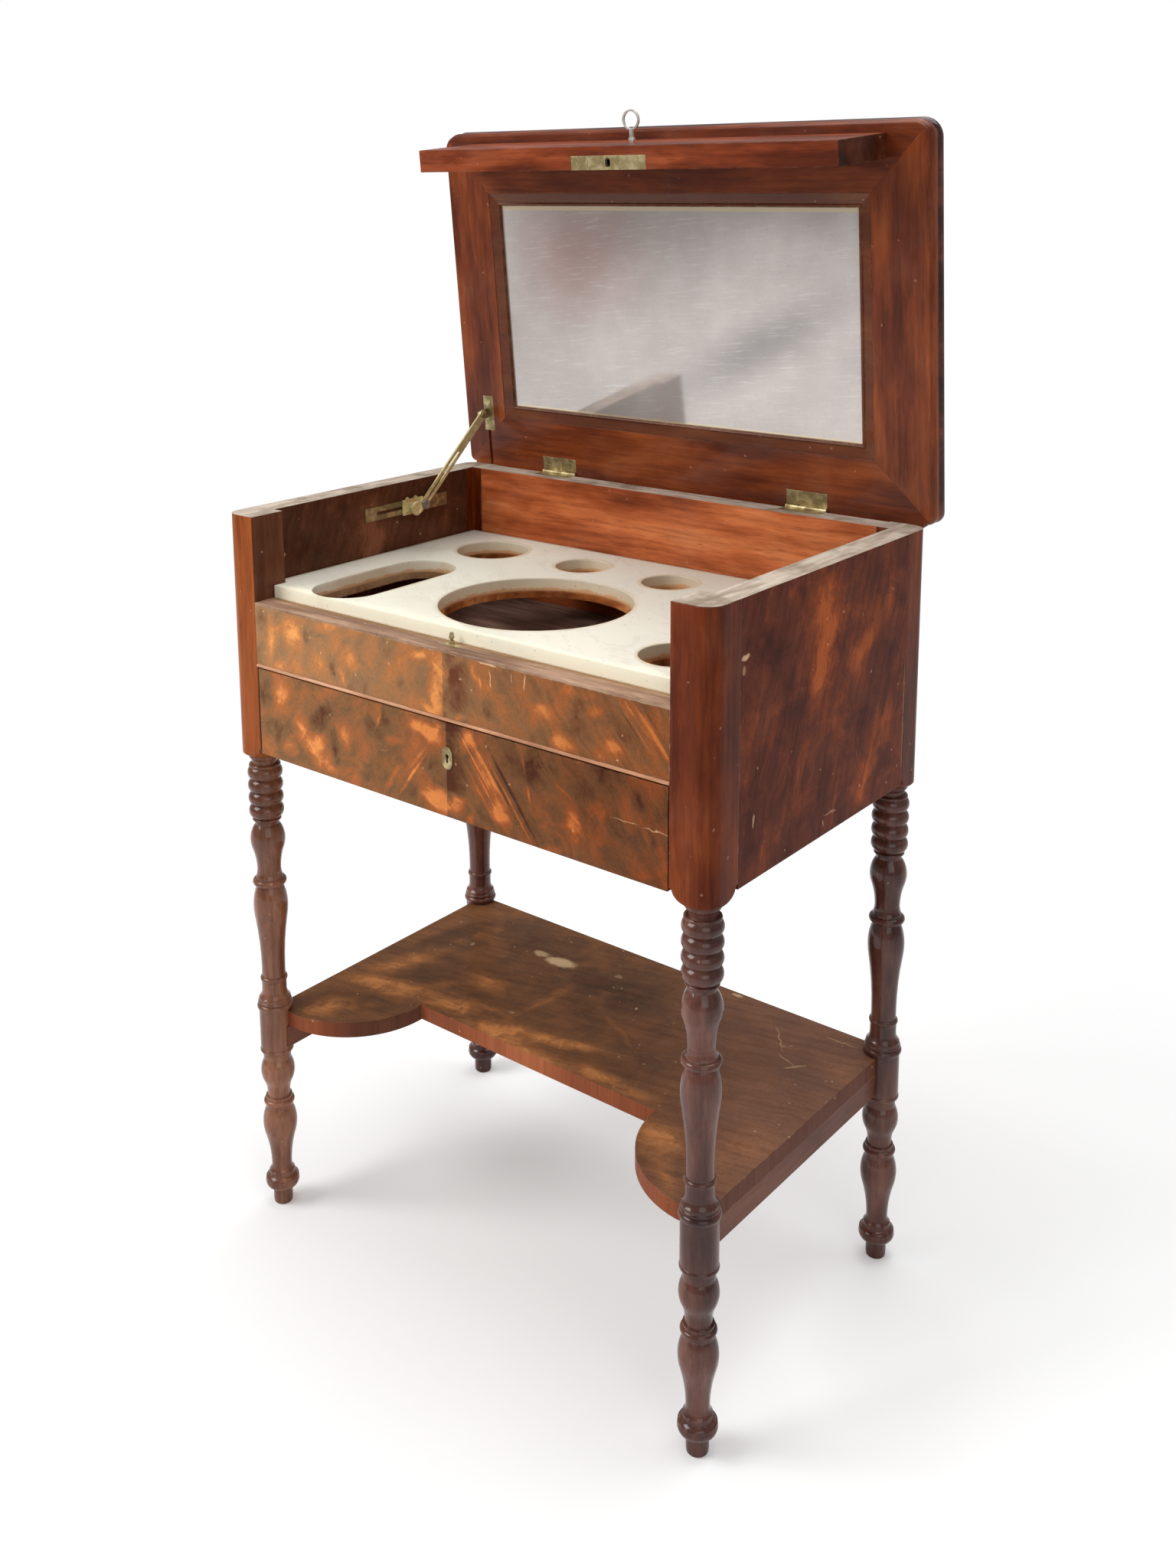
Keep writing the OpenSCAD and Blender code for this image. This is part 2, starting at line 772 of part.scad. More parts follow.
stay_holes = [plate_back - 20, -plate_front + 9];
slot_0 = -plate_front + 20;
slot_1 = plate_back - 30;
module at_stay_holes()
  for (i = [0, 1])
    translate([plate_x, stay_holes[i], slider_z])
      rotate([0, 90, 0]) children();
module stay_screw_holes() at_stay_holes() screw_hole(screw_l);
module stay_plate() color(brass)
  difference() {
    box([wall_x, -plate_front, slider_z - plate_h / 2], [plate_x, plate_back, slider_z + plate_h / 2]);
    translate([wall_x - e, slot_0, slider_z - slot_h / 2]) cube([plate_t + 2 * e, slot_1 - slot_0, slot_h]);
    for (y = [slot_0, slot_1])
      translate([wall_x - e, y, slider_z]) rotate([0, 90, 0]) cylinder(h = plate_t + 2 * e, r = slot_h / 2);
    at_stay_holes() screw_hole(screw_l);
  }
module stay_plate_screws() color(brass) at_stay_holes() screw(screw_l);

// hinges

// a barrel from x0 to x1 with a bore for the pin
module barrel(x0, x1, bore)
  rotate([0, 90, 0])
  translate([0, 0, x0])
  difference() {
    cylinder(h = x1 - x0, r = barrel_r);
    translate([0, 0, -e]) cylinder(h = x1 - x0 + 2 * e, r = bore);
  }

knuckle = hinge_l / 3;
module hinge_case_leaves() color(brass)
  translate([0, hinge_y, hinge_z]) at_hinges() {
    difference() {
      union() {
        box([-hinge_l / 2, -4 - leaf_w, -hinge_up - leaf_t], [hinge_l / 2, -barrel_r - 0.3, -hinge_up]);
        box([-hinge_l / 2, -barrel_r - 0.3, -hinge_up - leaf_t], [-knuckle / 2 - 0.2, 0, -hinge_up]);
        box([knuckle / 2 + 0.2, -barrel_r - 0.3, -hinge_up - leaf_t], [hinge_l / 2, 0, -hinge_up]);
      }
      for (x = [-17, 0, 17]) translate([x, -4 - leaf_w / 2, -hinge_up]) screw_hole(screw_l);
      rotate([0, 90, 0]) cylinder(h = hinge_l + 2, r = barrel_r - 0.5, center = true);
    }
    barrel(-hinge_l / 2, -knuckle / 2 - 0.2, pin_r);
    barrel(knuckle / 2 + 0.2, hinge_l / 2, pin_r);
  }
module hinge_case_screws() color(brass)
  translate([0, hinge_y - 4 - leaf_w / 2, case_top]) at_leaf_screws() screw(screw_l);
module hinge_pins() color(steel)
  translate([0, hinge_y, hinge_z]) at_hinges()
  rotate([0, 90, 0]) cylinder(h = hinge_l, r = pin_r, center = true);

// leaf let into the face of the lid frame
module lid_leaf_space(gap) {
  at_hinges() {
    box([-hinge_l / 2 - gap, -4 - leaf_w - gap, face_z - e],
        [hinge_l / 2 + gap, lid_rear + e, face_z + leaf_t]);
    rotate([0, 90, 0]) cylinder(h = hinge_l + 2 * gap, r = barrel_r + 3 * gap + 0.2, center = true);
  }
}
module hinge_lid_leaves() color(brass)
  in_lid() at_hinges() {
    difference() {
      union() {
        box([-hinge_l / 2, -4 - leaf_w, face_z], [hinge_l / 2, -barrel_r - 0.3, face_z + leaf_t]);
        box([-knuckle / 2, -barrel_r - 0.3, face_z], [knuckle / 2, 0, face_z + leaf_t]);
      }
      for (x = [-17, 0, 17]) translate([x, -4 - leaf_w / 2, face_z]) mirror([0, 0, 1]) screw_hole(screw_l);
      rotate([0, 90, 0]) cylinder(h = hinge_l + 2, r = barrel_r - 0.5, center = true);
    }
    barrel(-knuckle / 2, knuckle / 2, pin_r + pin_play);
  }
module hinge_lid_screws() color(brass)
  in_lid() translate([0, -4 - leaf_w / 2, face_z]) at_leaf_screws() mirror([0, 0, 1]) screw(screw_l);

// lid

module lid_board() color(wood)
  in_lid() translate([0, 0, frame_top]) edge_slab(1, lid_board_t);

// plan of the mitred frame members
module mitre(side) {
  far = 60;
  o = [lid_x + far, open_x];
  yr = [lid_rear + far * (lid_rear + open_rear) / stile_w, -open_rear];
  yf = [-lid_reach - far * rail_front_w / stile_w, -open_front];
  if (side == "stile")
    for (s = [-1, 1])
      polygon([[s * o[0], yr[0]], [s * o[1], yr[1]], [s * o[1], yf[1]], [s * o[0], yf[0]]]);
  if (side == "rail") {
    polygon([[-o[0], yr[0]], [o[0], yr[0]], [o[1], yr[1]], [-o[1], yr[1]]]);
    polygon([[-o[0], yf[0]], [o[0], yf[0]], [o[1], yf[1]], [-o[1], yf[1]]]);
  }
}
module lid_frame(side)
  in_lid() difference() {
    intersection() {
      translate([0, 0, face_z]) edge_slab(2, lid_frame_t);
      translate([0, 0, face_z - e]) linear_extrude(lid_frame_t + 2 * e) mitre(side);
    }
    lid_leaf_space(0.1);
    translate([0, -4 - leaf_w / 2, face_z]) at_leaf_screws() mirror([0, 0, 1]) screw_hole(screw_l);
    bracket_space();
    bracket_screws_at() screw_hole(screw_l);
  }
module lid_stiles() color(wood) lid_frame("stile");
module lid_rails() color(wood) lid_frame("rail");

// section of the sloping moulding; X runs from the frame towards the glass, Y into the lid
module mould_2d() {
  lap_x = mould_w - glass_lap - 0.2;
  polygon([[0, 0.4], [mould_w - 4, glass_deep - 2.4], [mould_w - 4, glass_deep],
           [lap_x, glass_deep], [lap_x, glass_deep + glass_t], [0, glass_deep + glass_t]]);
  translate([mould_w - 4, glass_deep - 2.4]) square([4, 2.4]);
  translate([mould_w - 2.2, glass_deep - 2.4]) circle(1.4);
}
// one side of the moulding, laid along Y with the frame edge on X = 0
module mould_run(len)
  translate([0, 0, face_z])
  mirror([1, 0, 0])
  rotate([90, 0, 0])
  linear_extrude(len + 60, center = true)
  mould_2d();
module mirror_moulding() color(wood)
  in_lid() {
    mid = -(open_rear + open_front) / 2;
    span = (open_front - open_rear) / 2;
    c = [[open_x, -open_rear], [open_x, -open_front], [-open_x, -open_front], [-open_x, -open_rear]];
    m = mould_w + 4;
    both_sides() intersection() {
      translate([open_x, mid, 0]) mould_run(2 * span);
      linear_extrude(20) polygon([c[0], c[1], [open_x - m, -open_front + m], [open_x - m, -open_rear - m]]);
    }
    intersection() {
      translate([0, -open_rear, 0]) rotate([0, 0, 90]) mould_run(2 * open_x);
      linear_extrude(20) polygon([c[0], c[3], [-open_x + m, -open_rear - m], [open_x - m, -open_rear - m]]);
    }
    intersection() {
      translate([0, -open_front, 0]) rotate([0, 0, -90]) mould_run(2 * open_x);
      linear_extrude(20)
        polygon([c[1], c[2], [-open_x + m, -open_front + m], [open_x - m, -open_front + m]]);
    }
  }
module mirror_glass() color(silver)
  in_lid()
  box([-glass_x_half, -glass_s1, face_z + glass_deep],
      [glass_x_half, -glass_s0, face_z + glass_deep + glass_t]);
module mirror_back() color(pale_wood)
  in_lid() box([-open_x, -open_front, face_z + glass_deep + glass_t], [open_x, -open_rear, frame_top]);

// board that closes the front, fixed square to the lid

// channel in the board for the lock, its plate, bolt and key
module lock_space(gap) {
  box([-selv_l / 2 - gap, -apron_back - selv_w - gap, apron_low - e],
      [selv_l / 2 + gap, -apron_back + e, apron_low + selv_t]);
  box([-lock_l / 2 - gap, -apron_back - lock_t - gap, apron_low - e],
      [lock_l / 2 + gap, -apron_back + e, lock_top + gap]);
}
module key_way(r)
  translate([0, -apron_back, key_z])
  rotate([90, 0, 0])
  translate([0, 0, -e])
  cylinder(h = apron_t + 2 * e, r = r);
module at_plate_screws()
  for (x = [-selv_screw_x, selv_screw_x])
    translate([x, -selv_s, apron_low]) mirror([0, 0, 1]) children();
module lid_apron() color(wood)
  in_lid() difference() {
    box([-apron_x, -apron_front, apron_low], [apron_x, -apron_back, face_z]);
    lock_space(0.1);
    key_way(key_r + 0.5);
    box([-1.4, -apron_front - e, key_z - 8.2], [1.4, -apron_back - lock_t + e, key_z]);
    at_plate_screws() screw_hole(screw_l);
  }
// opening for the peg, long enough for the swing of the lid
module peg_hole(h)
  translate([0, -selv_s, apron_low - e]) {
    for (y = [-1.6, 1.6])
      translate([0, y, 0]) cylinder(h = h, r = peg_r + 0.5);
    box([-peg_r - 0.5, -1.6, 0], [peg_r + 0.5, 1.6, h]);
  }
module lock_plate() color(brass)
  in_lid() difference() {
    box([-selv_l / 2, -apron_back - selv_w, apron_low], [selv_l / 2, -apron_back, apron_low + selv_t]);
    peg_hole(selv_t + 2 * e);
    at_plate_screws() screw_hole(screw_l);
  }
module lock_plate_screws() color(brass)
  in_lid() at_plate_screws() screw(screw_l);

// lock body, a box in which the bolt slides and the key turns
lock_wall = 1.2;
bolt_z = apron_low + selv_t + lock_wall + 0.3;
bolt_half = lock_t / 2 - lock_wall - 0.3;
module lock_case() color(steel)
  in_lid() difference() {
    box([-lock_l / 2, -apron_back - lock_t, apron_low + selv_t], [lock_l / 2, -apron_back, lock_top]);
    box([-lock_l / 2 + lock_wall, -apron_back - lock_t + lock_wall, apron_low + selv_t + lock_wall],
        [lock_l / 2 - lock_wall, -apron_back - lock_wall, lock_top - lock_wall]);
    translate([0, -apron_back - lock_t + 3, key_z]) rotate([90, 0, 0]) cylinder(h = 5, r = key_r + 0.5);
    box([-1.4, -apron_back - lock_t - e, key_z - 8.2], [1.4, -apron_back - lock_t + 3, key_z]);
    peg_hole(selv_t + 2 * e + lock_wall);
  }

// bolt with a keyhole slot for the peg and a tail that the key pushes
module lock_bolt() color(brass)
  in_lid() {
    difference() {
      box([-13, -selv_s - bolt_half, bolt_z], [12, -selv_s + bolt_half, bolt_z + 2]);
      translate([0, 0, bolt_z - apron_low - selv_t]) peg_hole(selv_t + 3 + e);
      box([-9, -selv_s - peg_neck - 0.4, bolt_z - e], [0, -selv_s + peg_neck + 0.4, bolt_z + 2 + e]);
    }
    box([5, -selv_s - 1.5, bolt_z], [9, -selv_s + 1.5, key_z - 12]);
    box([-4.2, -selv_s - 1.5, key_z - 15], [9, -selv_s + 1.5, key_z - 12]);
    box([-4.2, -selv_s - 1.5, key_z - 15], [-0.2, -selv_s + 1.5, key_z - 5]);
  }

// key, whose bit lies sideways in the lock
module key() color(steel)
  in_lid() translate([0, -apron_back, key_z]) rotate([90, 0, 0]) {
    translate([0, 0, lock_wall + 0.6]) cylinder(h = apron_t + key_out - bow_r + 1.4 - lock_wall, r = key_r);
    translate([-7.5, -1, lock_t / 2 - 3]) cube([7.5, 2, 6]);
    translate([0, 0, apron_t + 2]) cylinder(h = 3, r = key_r + 1.2);
    translate([0, 0, apron_t + key_out]) rotate([90, 0, 0]) difference() {
      cylinder(h = bow_t, r = bow_r, center = true);
      cylinder(h = bow_t + 2 * e, r = bow_r - bow_t, center = true);
    }
  }

// stay

// bracket let into the frame, with its lug
module bracket_plan(gap)
  box([arm_x - 7 - gap, -stay_s - 22 - gap, face_z - e], [arm_x + 9 + gap, -stay_s + 22 + gap, face_z + 2]);
module bracket_space() {
  bracket_plan(0.1);
  box([arm_x - 2, -stay_s + 22, face_z - e], [arm_x + 2, lid_rear + e, face_z + 3]);
}
lug_x = arm_x - stay_gap - 2;
module bracket_screws_at()
  for (y = [-15, 15])
    translate([arm_x + 4.5, -stay_s + y, face_z]) mirror([0, 0, 1]) children();
module stay_bracket_screws() color(brass) in_lid() bracket_screws_at() screw(screw_l);
module stay_bracket() color(brass)
  in_lid() {
    difference() {
      box([arm_x - 7, -stay_s - 22, face_z], [arm_x + 9, -stay_s + 22, face_z + 2]);
      bracket_screws_at() screw_hole(screw_l);
    }
    box([lug_x, -stay_s - 6, face_z - stay_n], [lug_x + 2, -stay_s + 6, face_z]);
    translate([lug_x, -stay_s, face_z - stay_n]) rotate([0, 90, 0]) {
      cylinder(h = 2, r = 6);
      cylinder(h = 2 + arm_t + 2 * stay_gap, r = stud_r);
      translate([0, 0, 2 + arm_t + 2 * stay_gap]) cylinder(h = 1.4, r = stud_r + 1.6);
    }
  }

// flat arm with its long slit
module stay_arm() color(brass)
  translate([arm_x, slider_y, slider_z])
  rotate([arm_tilt, 0, 0])
  rotate([90, 0, 90])
  linear_extrude(arm_t)
  difference() {
    union() {
      circle(arm_w / 2 + 1);
      translate([0, -arm_w / 2]) square([arm_len, arm_w]);
      translate([arm_len, 0]) circle(arm_w / 2 + 0.5);
    }
    circle(stud_r + 0.3);
    translate([arm_len, 0]) circle(stud_r + 0.3);
    translate([9, -slit_w / 2]) square([slit_l, slit_w]);
    translate([9, 0]) circle(slit_w / 2);
    translate([9 + slit_l, 0]) circle(slit_w / 2);
  }

// saddle that runs along the slotted plate
module stay_saddle() color(brass) {
  translate([saddle_x, slider_y, slider_z]) rotate([90, 0, 90]) linear_extrude(saddle_t) {
    translate([-saddle_front, -saddle_h / 2]) square([saddle_front, saddle_h]);
    circle(saddle_h / 2 - 2);
    for (y = [-26, -12]) translate([y, saddle_h / 2]) circle(2.6);
  }
  translate([saddle_x + saddle_t, slider_y - thumb_y - 5, slider_z - 5]) difference() {
    cube([5, 10, 10]);
    translate([-e, 5, 5]) rotate([0, 90, 0]) cylinder(h = 5 + 2 * e, r = 2.6);
  }
}
// steel stud and nut that hold the arm on the saddle
module stay_stud() color(steel)
  translate([saddle_x + saddle_t, slider_y, slider_z]) rotate([0, 90, 0]) {
    cylinder(h = 2 * stay_gap + arm_t + 3.6, r = stud_r);
    translate([0, 0, 2 * stay_gap + arm_t]) cylinder(h = 3.6, r = 6.2, $fn = 6);
  }
module thumbscrew() color(brass)
  translate([saddle_x + saddle_t + 0.1, slider_y - thumb_y, slider_z]) rotate([0, 90, 0]) {
    cylinder(h = thumb_x - saddle_x - saddle_t, r = 2.4);
    translate([0, 0, 5.4]) cylinder(h = 2, r = 3.6);
    translate([0, 0, thumb_x - saddle_x - saddle_t - 3]) difference() {
      cylinder(h = 3, r = thumb_r);
      translate([0, 0, 2.4]) cylinder(h = 1, r = thumb_r - 2);
      for (a = [0 : 30 : 359]) rotate([0, 0, a]) translate([thumb_r + 0.3, 0, -e]) cylinder(h = 5, r = 0.9);
    }
  }

// drawer

module drawer_front() color(flame)
  difference() {
    box([-drawer_half, -half_d, drawer_low], [drawer_half, -half_d + drawer_front_t, drawer_top]);
    drawer_lock_space(0.1);
    translate([scut_x, -half_d + drawer_front_t + e, scut_z]) rotate([90, 0, 0])
      cylinder(h = drawer_front_t + 2 * e, r = 2.2);
    translate([scut_x - 1.2, -half_d - e, scut_z - 7]) cube([2.4, drawer_front_t + 2 * e, 7]);
  }
drawer_in = -half_d + drawer_front_t;
drawer_end = in_back - drawer_back_gap;
module drawer_sides() color(pale_wood)
  both_sides()
  box([drawer_side_x - drawer_side_t, drawer_in, side_low],
      [drawer_side_x, drawer_end, side_low + drawer_side_h]);
module drawer_back() color(pale_wood)
  box([drawer_side_t - drawer_side_x, drawer_end - drawer_side_t, drawer_bottom_z + drawer_bottom_t],
      [drawer_side_x - drawer_side_t, drawer_end, side_low + drawer_side_h - 6]);
module drawer_bottom() color(pale_wood)
  box([-drawer_side_x + drawer_side_t, drawer_in, drawer_bottom_z],
      [drawer_side_x - drawer_side_t, drawer_end, drawer_bottom_z + drawer_bottom_t]);
module drawer_lock_space(gap)
  box([scut_x - 28 - gap, drawer_in - 9 - gap, scut_z - 14 - gap],
      [scut_x + 28 + gap, drawer_in + e, drawer_top + e]);
module drawer_lock() color(steel)
  difference() {
    box([scut_x - 28, drawer_in - 9, scut_z - 14], [scut_x + 28, drawer_in, drawer_top]);
    translate([scut_x, drawer_in - 2, scut_z]) rotate([90, 0, 0]) cylinder(h = 8, r = 7);
    translate([scut_x - 1.2, drawer_in - 10, scut_z - 7]) cube([2.4, 4, 7]);
  }
module escutcheon() color(brass)
  translate([scut_x, -half_d, scut_z - 2])
  rotate([90, 0, 0])
  linear_extrude(scut_t)
  difference() {
    union() {
      for (y = [-1, 1]) translate([0, y * (scut_h - scut_w) / 2]) circle(scut_w / 2);
      translate([-scut_w / 2, -(scut_h - scut_w) / 2]) square([scut_w, scut_h - scut_w]);
    }
    translate([0, 2]) circle(2.2);
    translate([-1.2, -5]) square([2.4, 7]);
  }

leg_front_left();
leg_front_right();
leg_back_left();
leg_back_right();
side_left();
side_right();
back_panel();
front_panel();
front_bead();
ledge();
dustboard();
drawer_kickers();
drawer_runners();
sub_board();
sub_bearers();
marble();
shelf();
shelf_rails();
lock_peg();
stay_plate();
stay_plate_screws();
hinge_case_leaves();
hinge_pins();
hinge_case_screws();
lid_board();
lid_stiles();
lid_rails();
mirror_moulding();
mirror_glass();
mirror_back();
lid_apron();
lock_plate();
lock_plate_screws();
lock_case();
hinge_lid_leaves();
hinge_lid_screws();
stay_bracket();
stay_bracket_screws();
drawer_front();
drawer_sides();
drawer_back();
drawer_bottom();
drawer_lock();
escutcheon();
key();
lock_bolt();
stay_arm();
stay_saddle();
stay_stud();
thumbscrew();
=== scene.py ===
"""Looks of a lift-top wooden washstand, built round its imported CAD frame."""

import logging
import math
import random
from dataclasses import dataclass, field, replace
from enum import Enum
from typing import ClassVar, Iterable, Sequence

import bmesh
import bpy
from mathutils import Matrix, Vector


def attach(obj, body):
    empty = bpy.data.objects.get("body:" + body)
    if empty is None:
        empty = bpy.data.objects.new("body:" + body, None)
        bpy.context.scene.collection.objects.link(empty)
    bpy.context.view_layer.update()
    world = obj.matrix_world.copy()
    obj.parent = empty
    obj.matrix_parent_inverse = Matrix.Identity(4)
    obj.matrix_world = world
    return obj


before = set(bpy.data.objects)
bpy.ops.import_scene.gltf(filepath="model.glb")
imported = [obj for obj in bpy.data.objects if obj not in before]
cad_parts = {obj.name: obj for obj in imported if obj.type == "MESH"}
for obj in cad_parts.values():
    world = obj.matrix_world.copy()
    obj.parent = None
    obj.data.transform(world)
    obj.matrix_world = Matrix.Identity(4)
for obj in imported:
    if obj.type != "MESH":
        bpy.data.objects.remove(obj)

LOG = logging.getLogger("washstand")
RGB = tuple[float, float, float]
Point = tuple[float, float, float]
Socket = bpy.types.NodeSocket
Value = Socket | float | Sequence[float]
MM = 0.001

# Lid: it stands open at this angle, in degrees, about a hinge line at this Y and Z, in metres.
LID_OPEN = 84.7
HINGE_Y = 0.201
HINGE_Z = 0.8406

# Case, in metres: height from which upward faces are bare, heights over which a turned leg becomes
# a square post, and distances from the middle over which a face passes from outside to inside.
CASE_TOP = 0.8395
TURNED_TO = 0.559
SQUARE_FROM = 0.566
WALL_OUT = 0.2935
WALL_IN = 0.2915

# Marble slab, in metres: its top, its front face, and the top and thickness of the board below it.
MARBLE_TOP = 0.7595
MARBLE_FRONT = -0.1728
BOARD_TOP = 0.7455
BOARD_T = 0.008

# Mirror glass in the closed lid's frame, in metres: its centre, half sizes and pale rim.
GLASS_Y = -0.2005
GLASS_HALF_X = 0.2412
GLASS_HALF_Y = 0.1208
GLASS_RIM = 0.0012

# Rounding of worn edges, in metres, and coat of a leg's square post.
EDGE = 0.0016
LEG_EDGE = 0.003
MARBLE_EDGE = 0.0022
METAL_EDGE = 0.0005
POST_COAT = 0.05

# A patch whose smaller half size, in millimetres, is below this is a streak, which stays nearly straight.
STREAK_HALF = 3.0

# Depth of the relief of wood, marble and metal, in metres.
WOOD_RELIEF = 0.00012
MARBLE_RELIEF = 0.0003
METAL_RELIEF = 0.00005

# The veneer right of a seam is darker by this much at the seam, and the step is gone this far from it, in metres.
SEAM_STEP = -0.30
SEAM_REACH = 0.06


class Grain(Enum):
    """Direction along which the fibres of a wooden piece run."""

    X = (1.0, 22.0, 22.0)
    Y = (22.0, 1.0, 22.0)
    Z = (22.0, 22.0, 1.0)


class Face(Enum):
    """Plane on which a veneer's figure is laid."""

    FRONT = "front"
    SIDE = "side"
    TOP = "top"


@dataclass(frozen=True)
class Noise:
    """Settings of a noise pattern.

    Attributes:
        scale: Cycles per metre.
        detail: Number of octaves.
        rough: Strength of the fine octaves.
        warp: Distortion of the pattern.
    """

    scale: float
    detail: float = 4.0
    rough: float = 0.6
    warp: float = 0.0


@dataclass(frozen=True)
class Patch:
    """A soft oval patch on a veneered face, in millimetres.

    Attributes:
        u: Place across the face.
        v: Place up or along the face.
        ru: Half width.
        rv: Half height.
        strength: How much it brightens the figure; below 0 it darkens.
        lean: Angle by which its top leans towards +u, in degrees.
    """

    u: float
    v: float
    ru: float
    rv: float
    strength: float = 0.6
    lean: float = 0.0


def patches(*rows: tuple[float, ...]) -> tuple[Patch, ...]:
    """Returns one patch for each row of its values."""
    return tuple(Patch(*row) for row in rows)


def tint(red: int, green: int, blue: int) -> RGB:
    """Returns the linear colour of a swatch given in display values from 0 to 255."""
    return tuple(c / 3294.6 if c <= 10 else ((c / 255 + 0.055) / 1.055) ** 2.4 for c in (red, green, blue))


def tones(*swatches: tuple[int, int, int]) -> tuple[RGB, ...]:
    """Returns the linear colours of several swatches, from the darkest to the brightest."""
    return tuple(tint(*swatch) for swatch in swatches)


@dataclass(frozen=True)
class WoodFinish:
    """A polished or bare wood surface.

    Attributes:
        name: Name of the material.
        tones: Colours from the darkest figure to the brightest.
        grain: Direction of the fibres where the wood has no figure.
        face: Plane of the figure, or None for plain wood.
        mirrored: Whether the figure is matched about a seam.
        seam: Place of the seam, in millimetres.
        slant: Lean of the figure's streaks, in degrees.
        patches: Patches of the figure.
        marks: Bare spots and scratches.
        contrast: Strength of the figure.
        level: Mean of the figure, from 0 to 1.
        rough: Roughness of the surface.
        coat: Weight of the polish.
        gloss: Strength of the bare wood's own reflection.
        fibre: Strength of the fine fibres.
        worn: Colour of rubbed edges.
        wear: How strongly edges are rubbed, from 0 to 1.
        in_lid: Whether the pattern lies in the lid's own frame.
        pale_top: Height above which upward faces are bare and pale, or None.
        upper: Tones of the square post above the turning, or None.
        inner: Tones of the faces that look into the case or to a side, or None.
        rim: Tones of the faces at the edge of a board, or None.
        fade: Whether the finish darkens from left to right.
        shift: Offset that gives each piece a pattern of its own.
    """

    name: str
    tones: Sequence[RGB]
    grain: Grain = Grain.X
    face: Face | None = None
    mirrored: bool = False
    seam: float = 0.0
    slant: float = 0.0
    patches: Sequence[Patch] = ()
    marks: Sequence[Patch] = ()
    contrast: float = 1.0
    level: float = 0.44
    rough: float = 0.3
    coat: float = 0.06
    gloss: float = 0.14
    fibre: float = 0.5
    worn: RGB = (0.42, 0.25, 0.15)
    wear: float = 0.5
    in_lid: bool = False
    pale_top: float | None = None
    upper: Sequence[RGB] | None = None
    inner: Sequence[RGB] | None = None
    rim: Sequence[RGB] | None = None
    fade: bool = False
    shift: float = 0.0


@dataclass(frozen=True)
class MetalFinish:
    """An aged metal surface.

    Attributes:
        name: Name of the material.
        bright: Colour where it is rubbed.
        dull: Colour where it is tarnished.
        rough: Roughness.
        scale: Size of the tarnish pattern, in cycles per metre.
        metallic: Share of the metal's own reflection.
    """

    name: str
    bright: RGB
    dull: RGB
    rough: float = 0.34
    scale: float = 90.0
    metallic: float = 0.8


# Noises of the wood.
LINES = Noise(8.0, 5.0, 0.65)
PORES = Noise(42.0, 2.0)
SPECK = Noise(320.0, 3.0, 0.7)
POLISH = Noise(11.0)
RAG = Noise(70.0, 3.0, 0.7)
BARE_LINES = Noise(18.0, 5.0, 0.65)
DIRT = Noise(13.0, 4.0, 0.65)
WIDE = Noise(6.0, 4.0, 0.58)
STREAK = Noise(11.0)
CLOUD = Noise(24.0, 8.0, 0.66, 0.5)
FEATHER = Noise(46.0, 7.0, 0.68, 0.8)
GLOW = Noise(14.0)

# Noises of the marble.
MARBLE_CLOUD = Noise(6.0, 5.0, 0.55, 0.4)
MARBLE_VEIN = Noise(5.0, 5.0, 0.6, 0.9)
MARBLE_WANDER = Noise(22.0)
MARBLE_CHIPS = Noise(55.0, 4.0, 0.7)
MARBLE_STAIN = Noise(11.0, 5.0, 0.7, 1.2)
MARBLE_GRAIN = Noise(90.0)

# Noises of the mirror.
HAZE = Noise(4.5, 4.0, 0.55)
BRUSH = Noise(22.0, 4.0, 0.7)
GRIT = Noise(240.0, 4.0, 0.7)

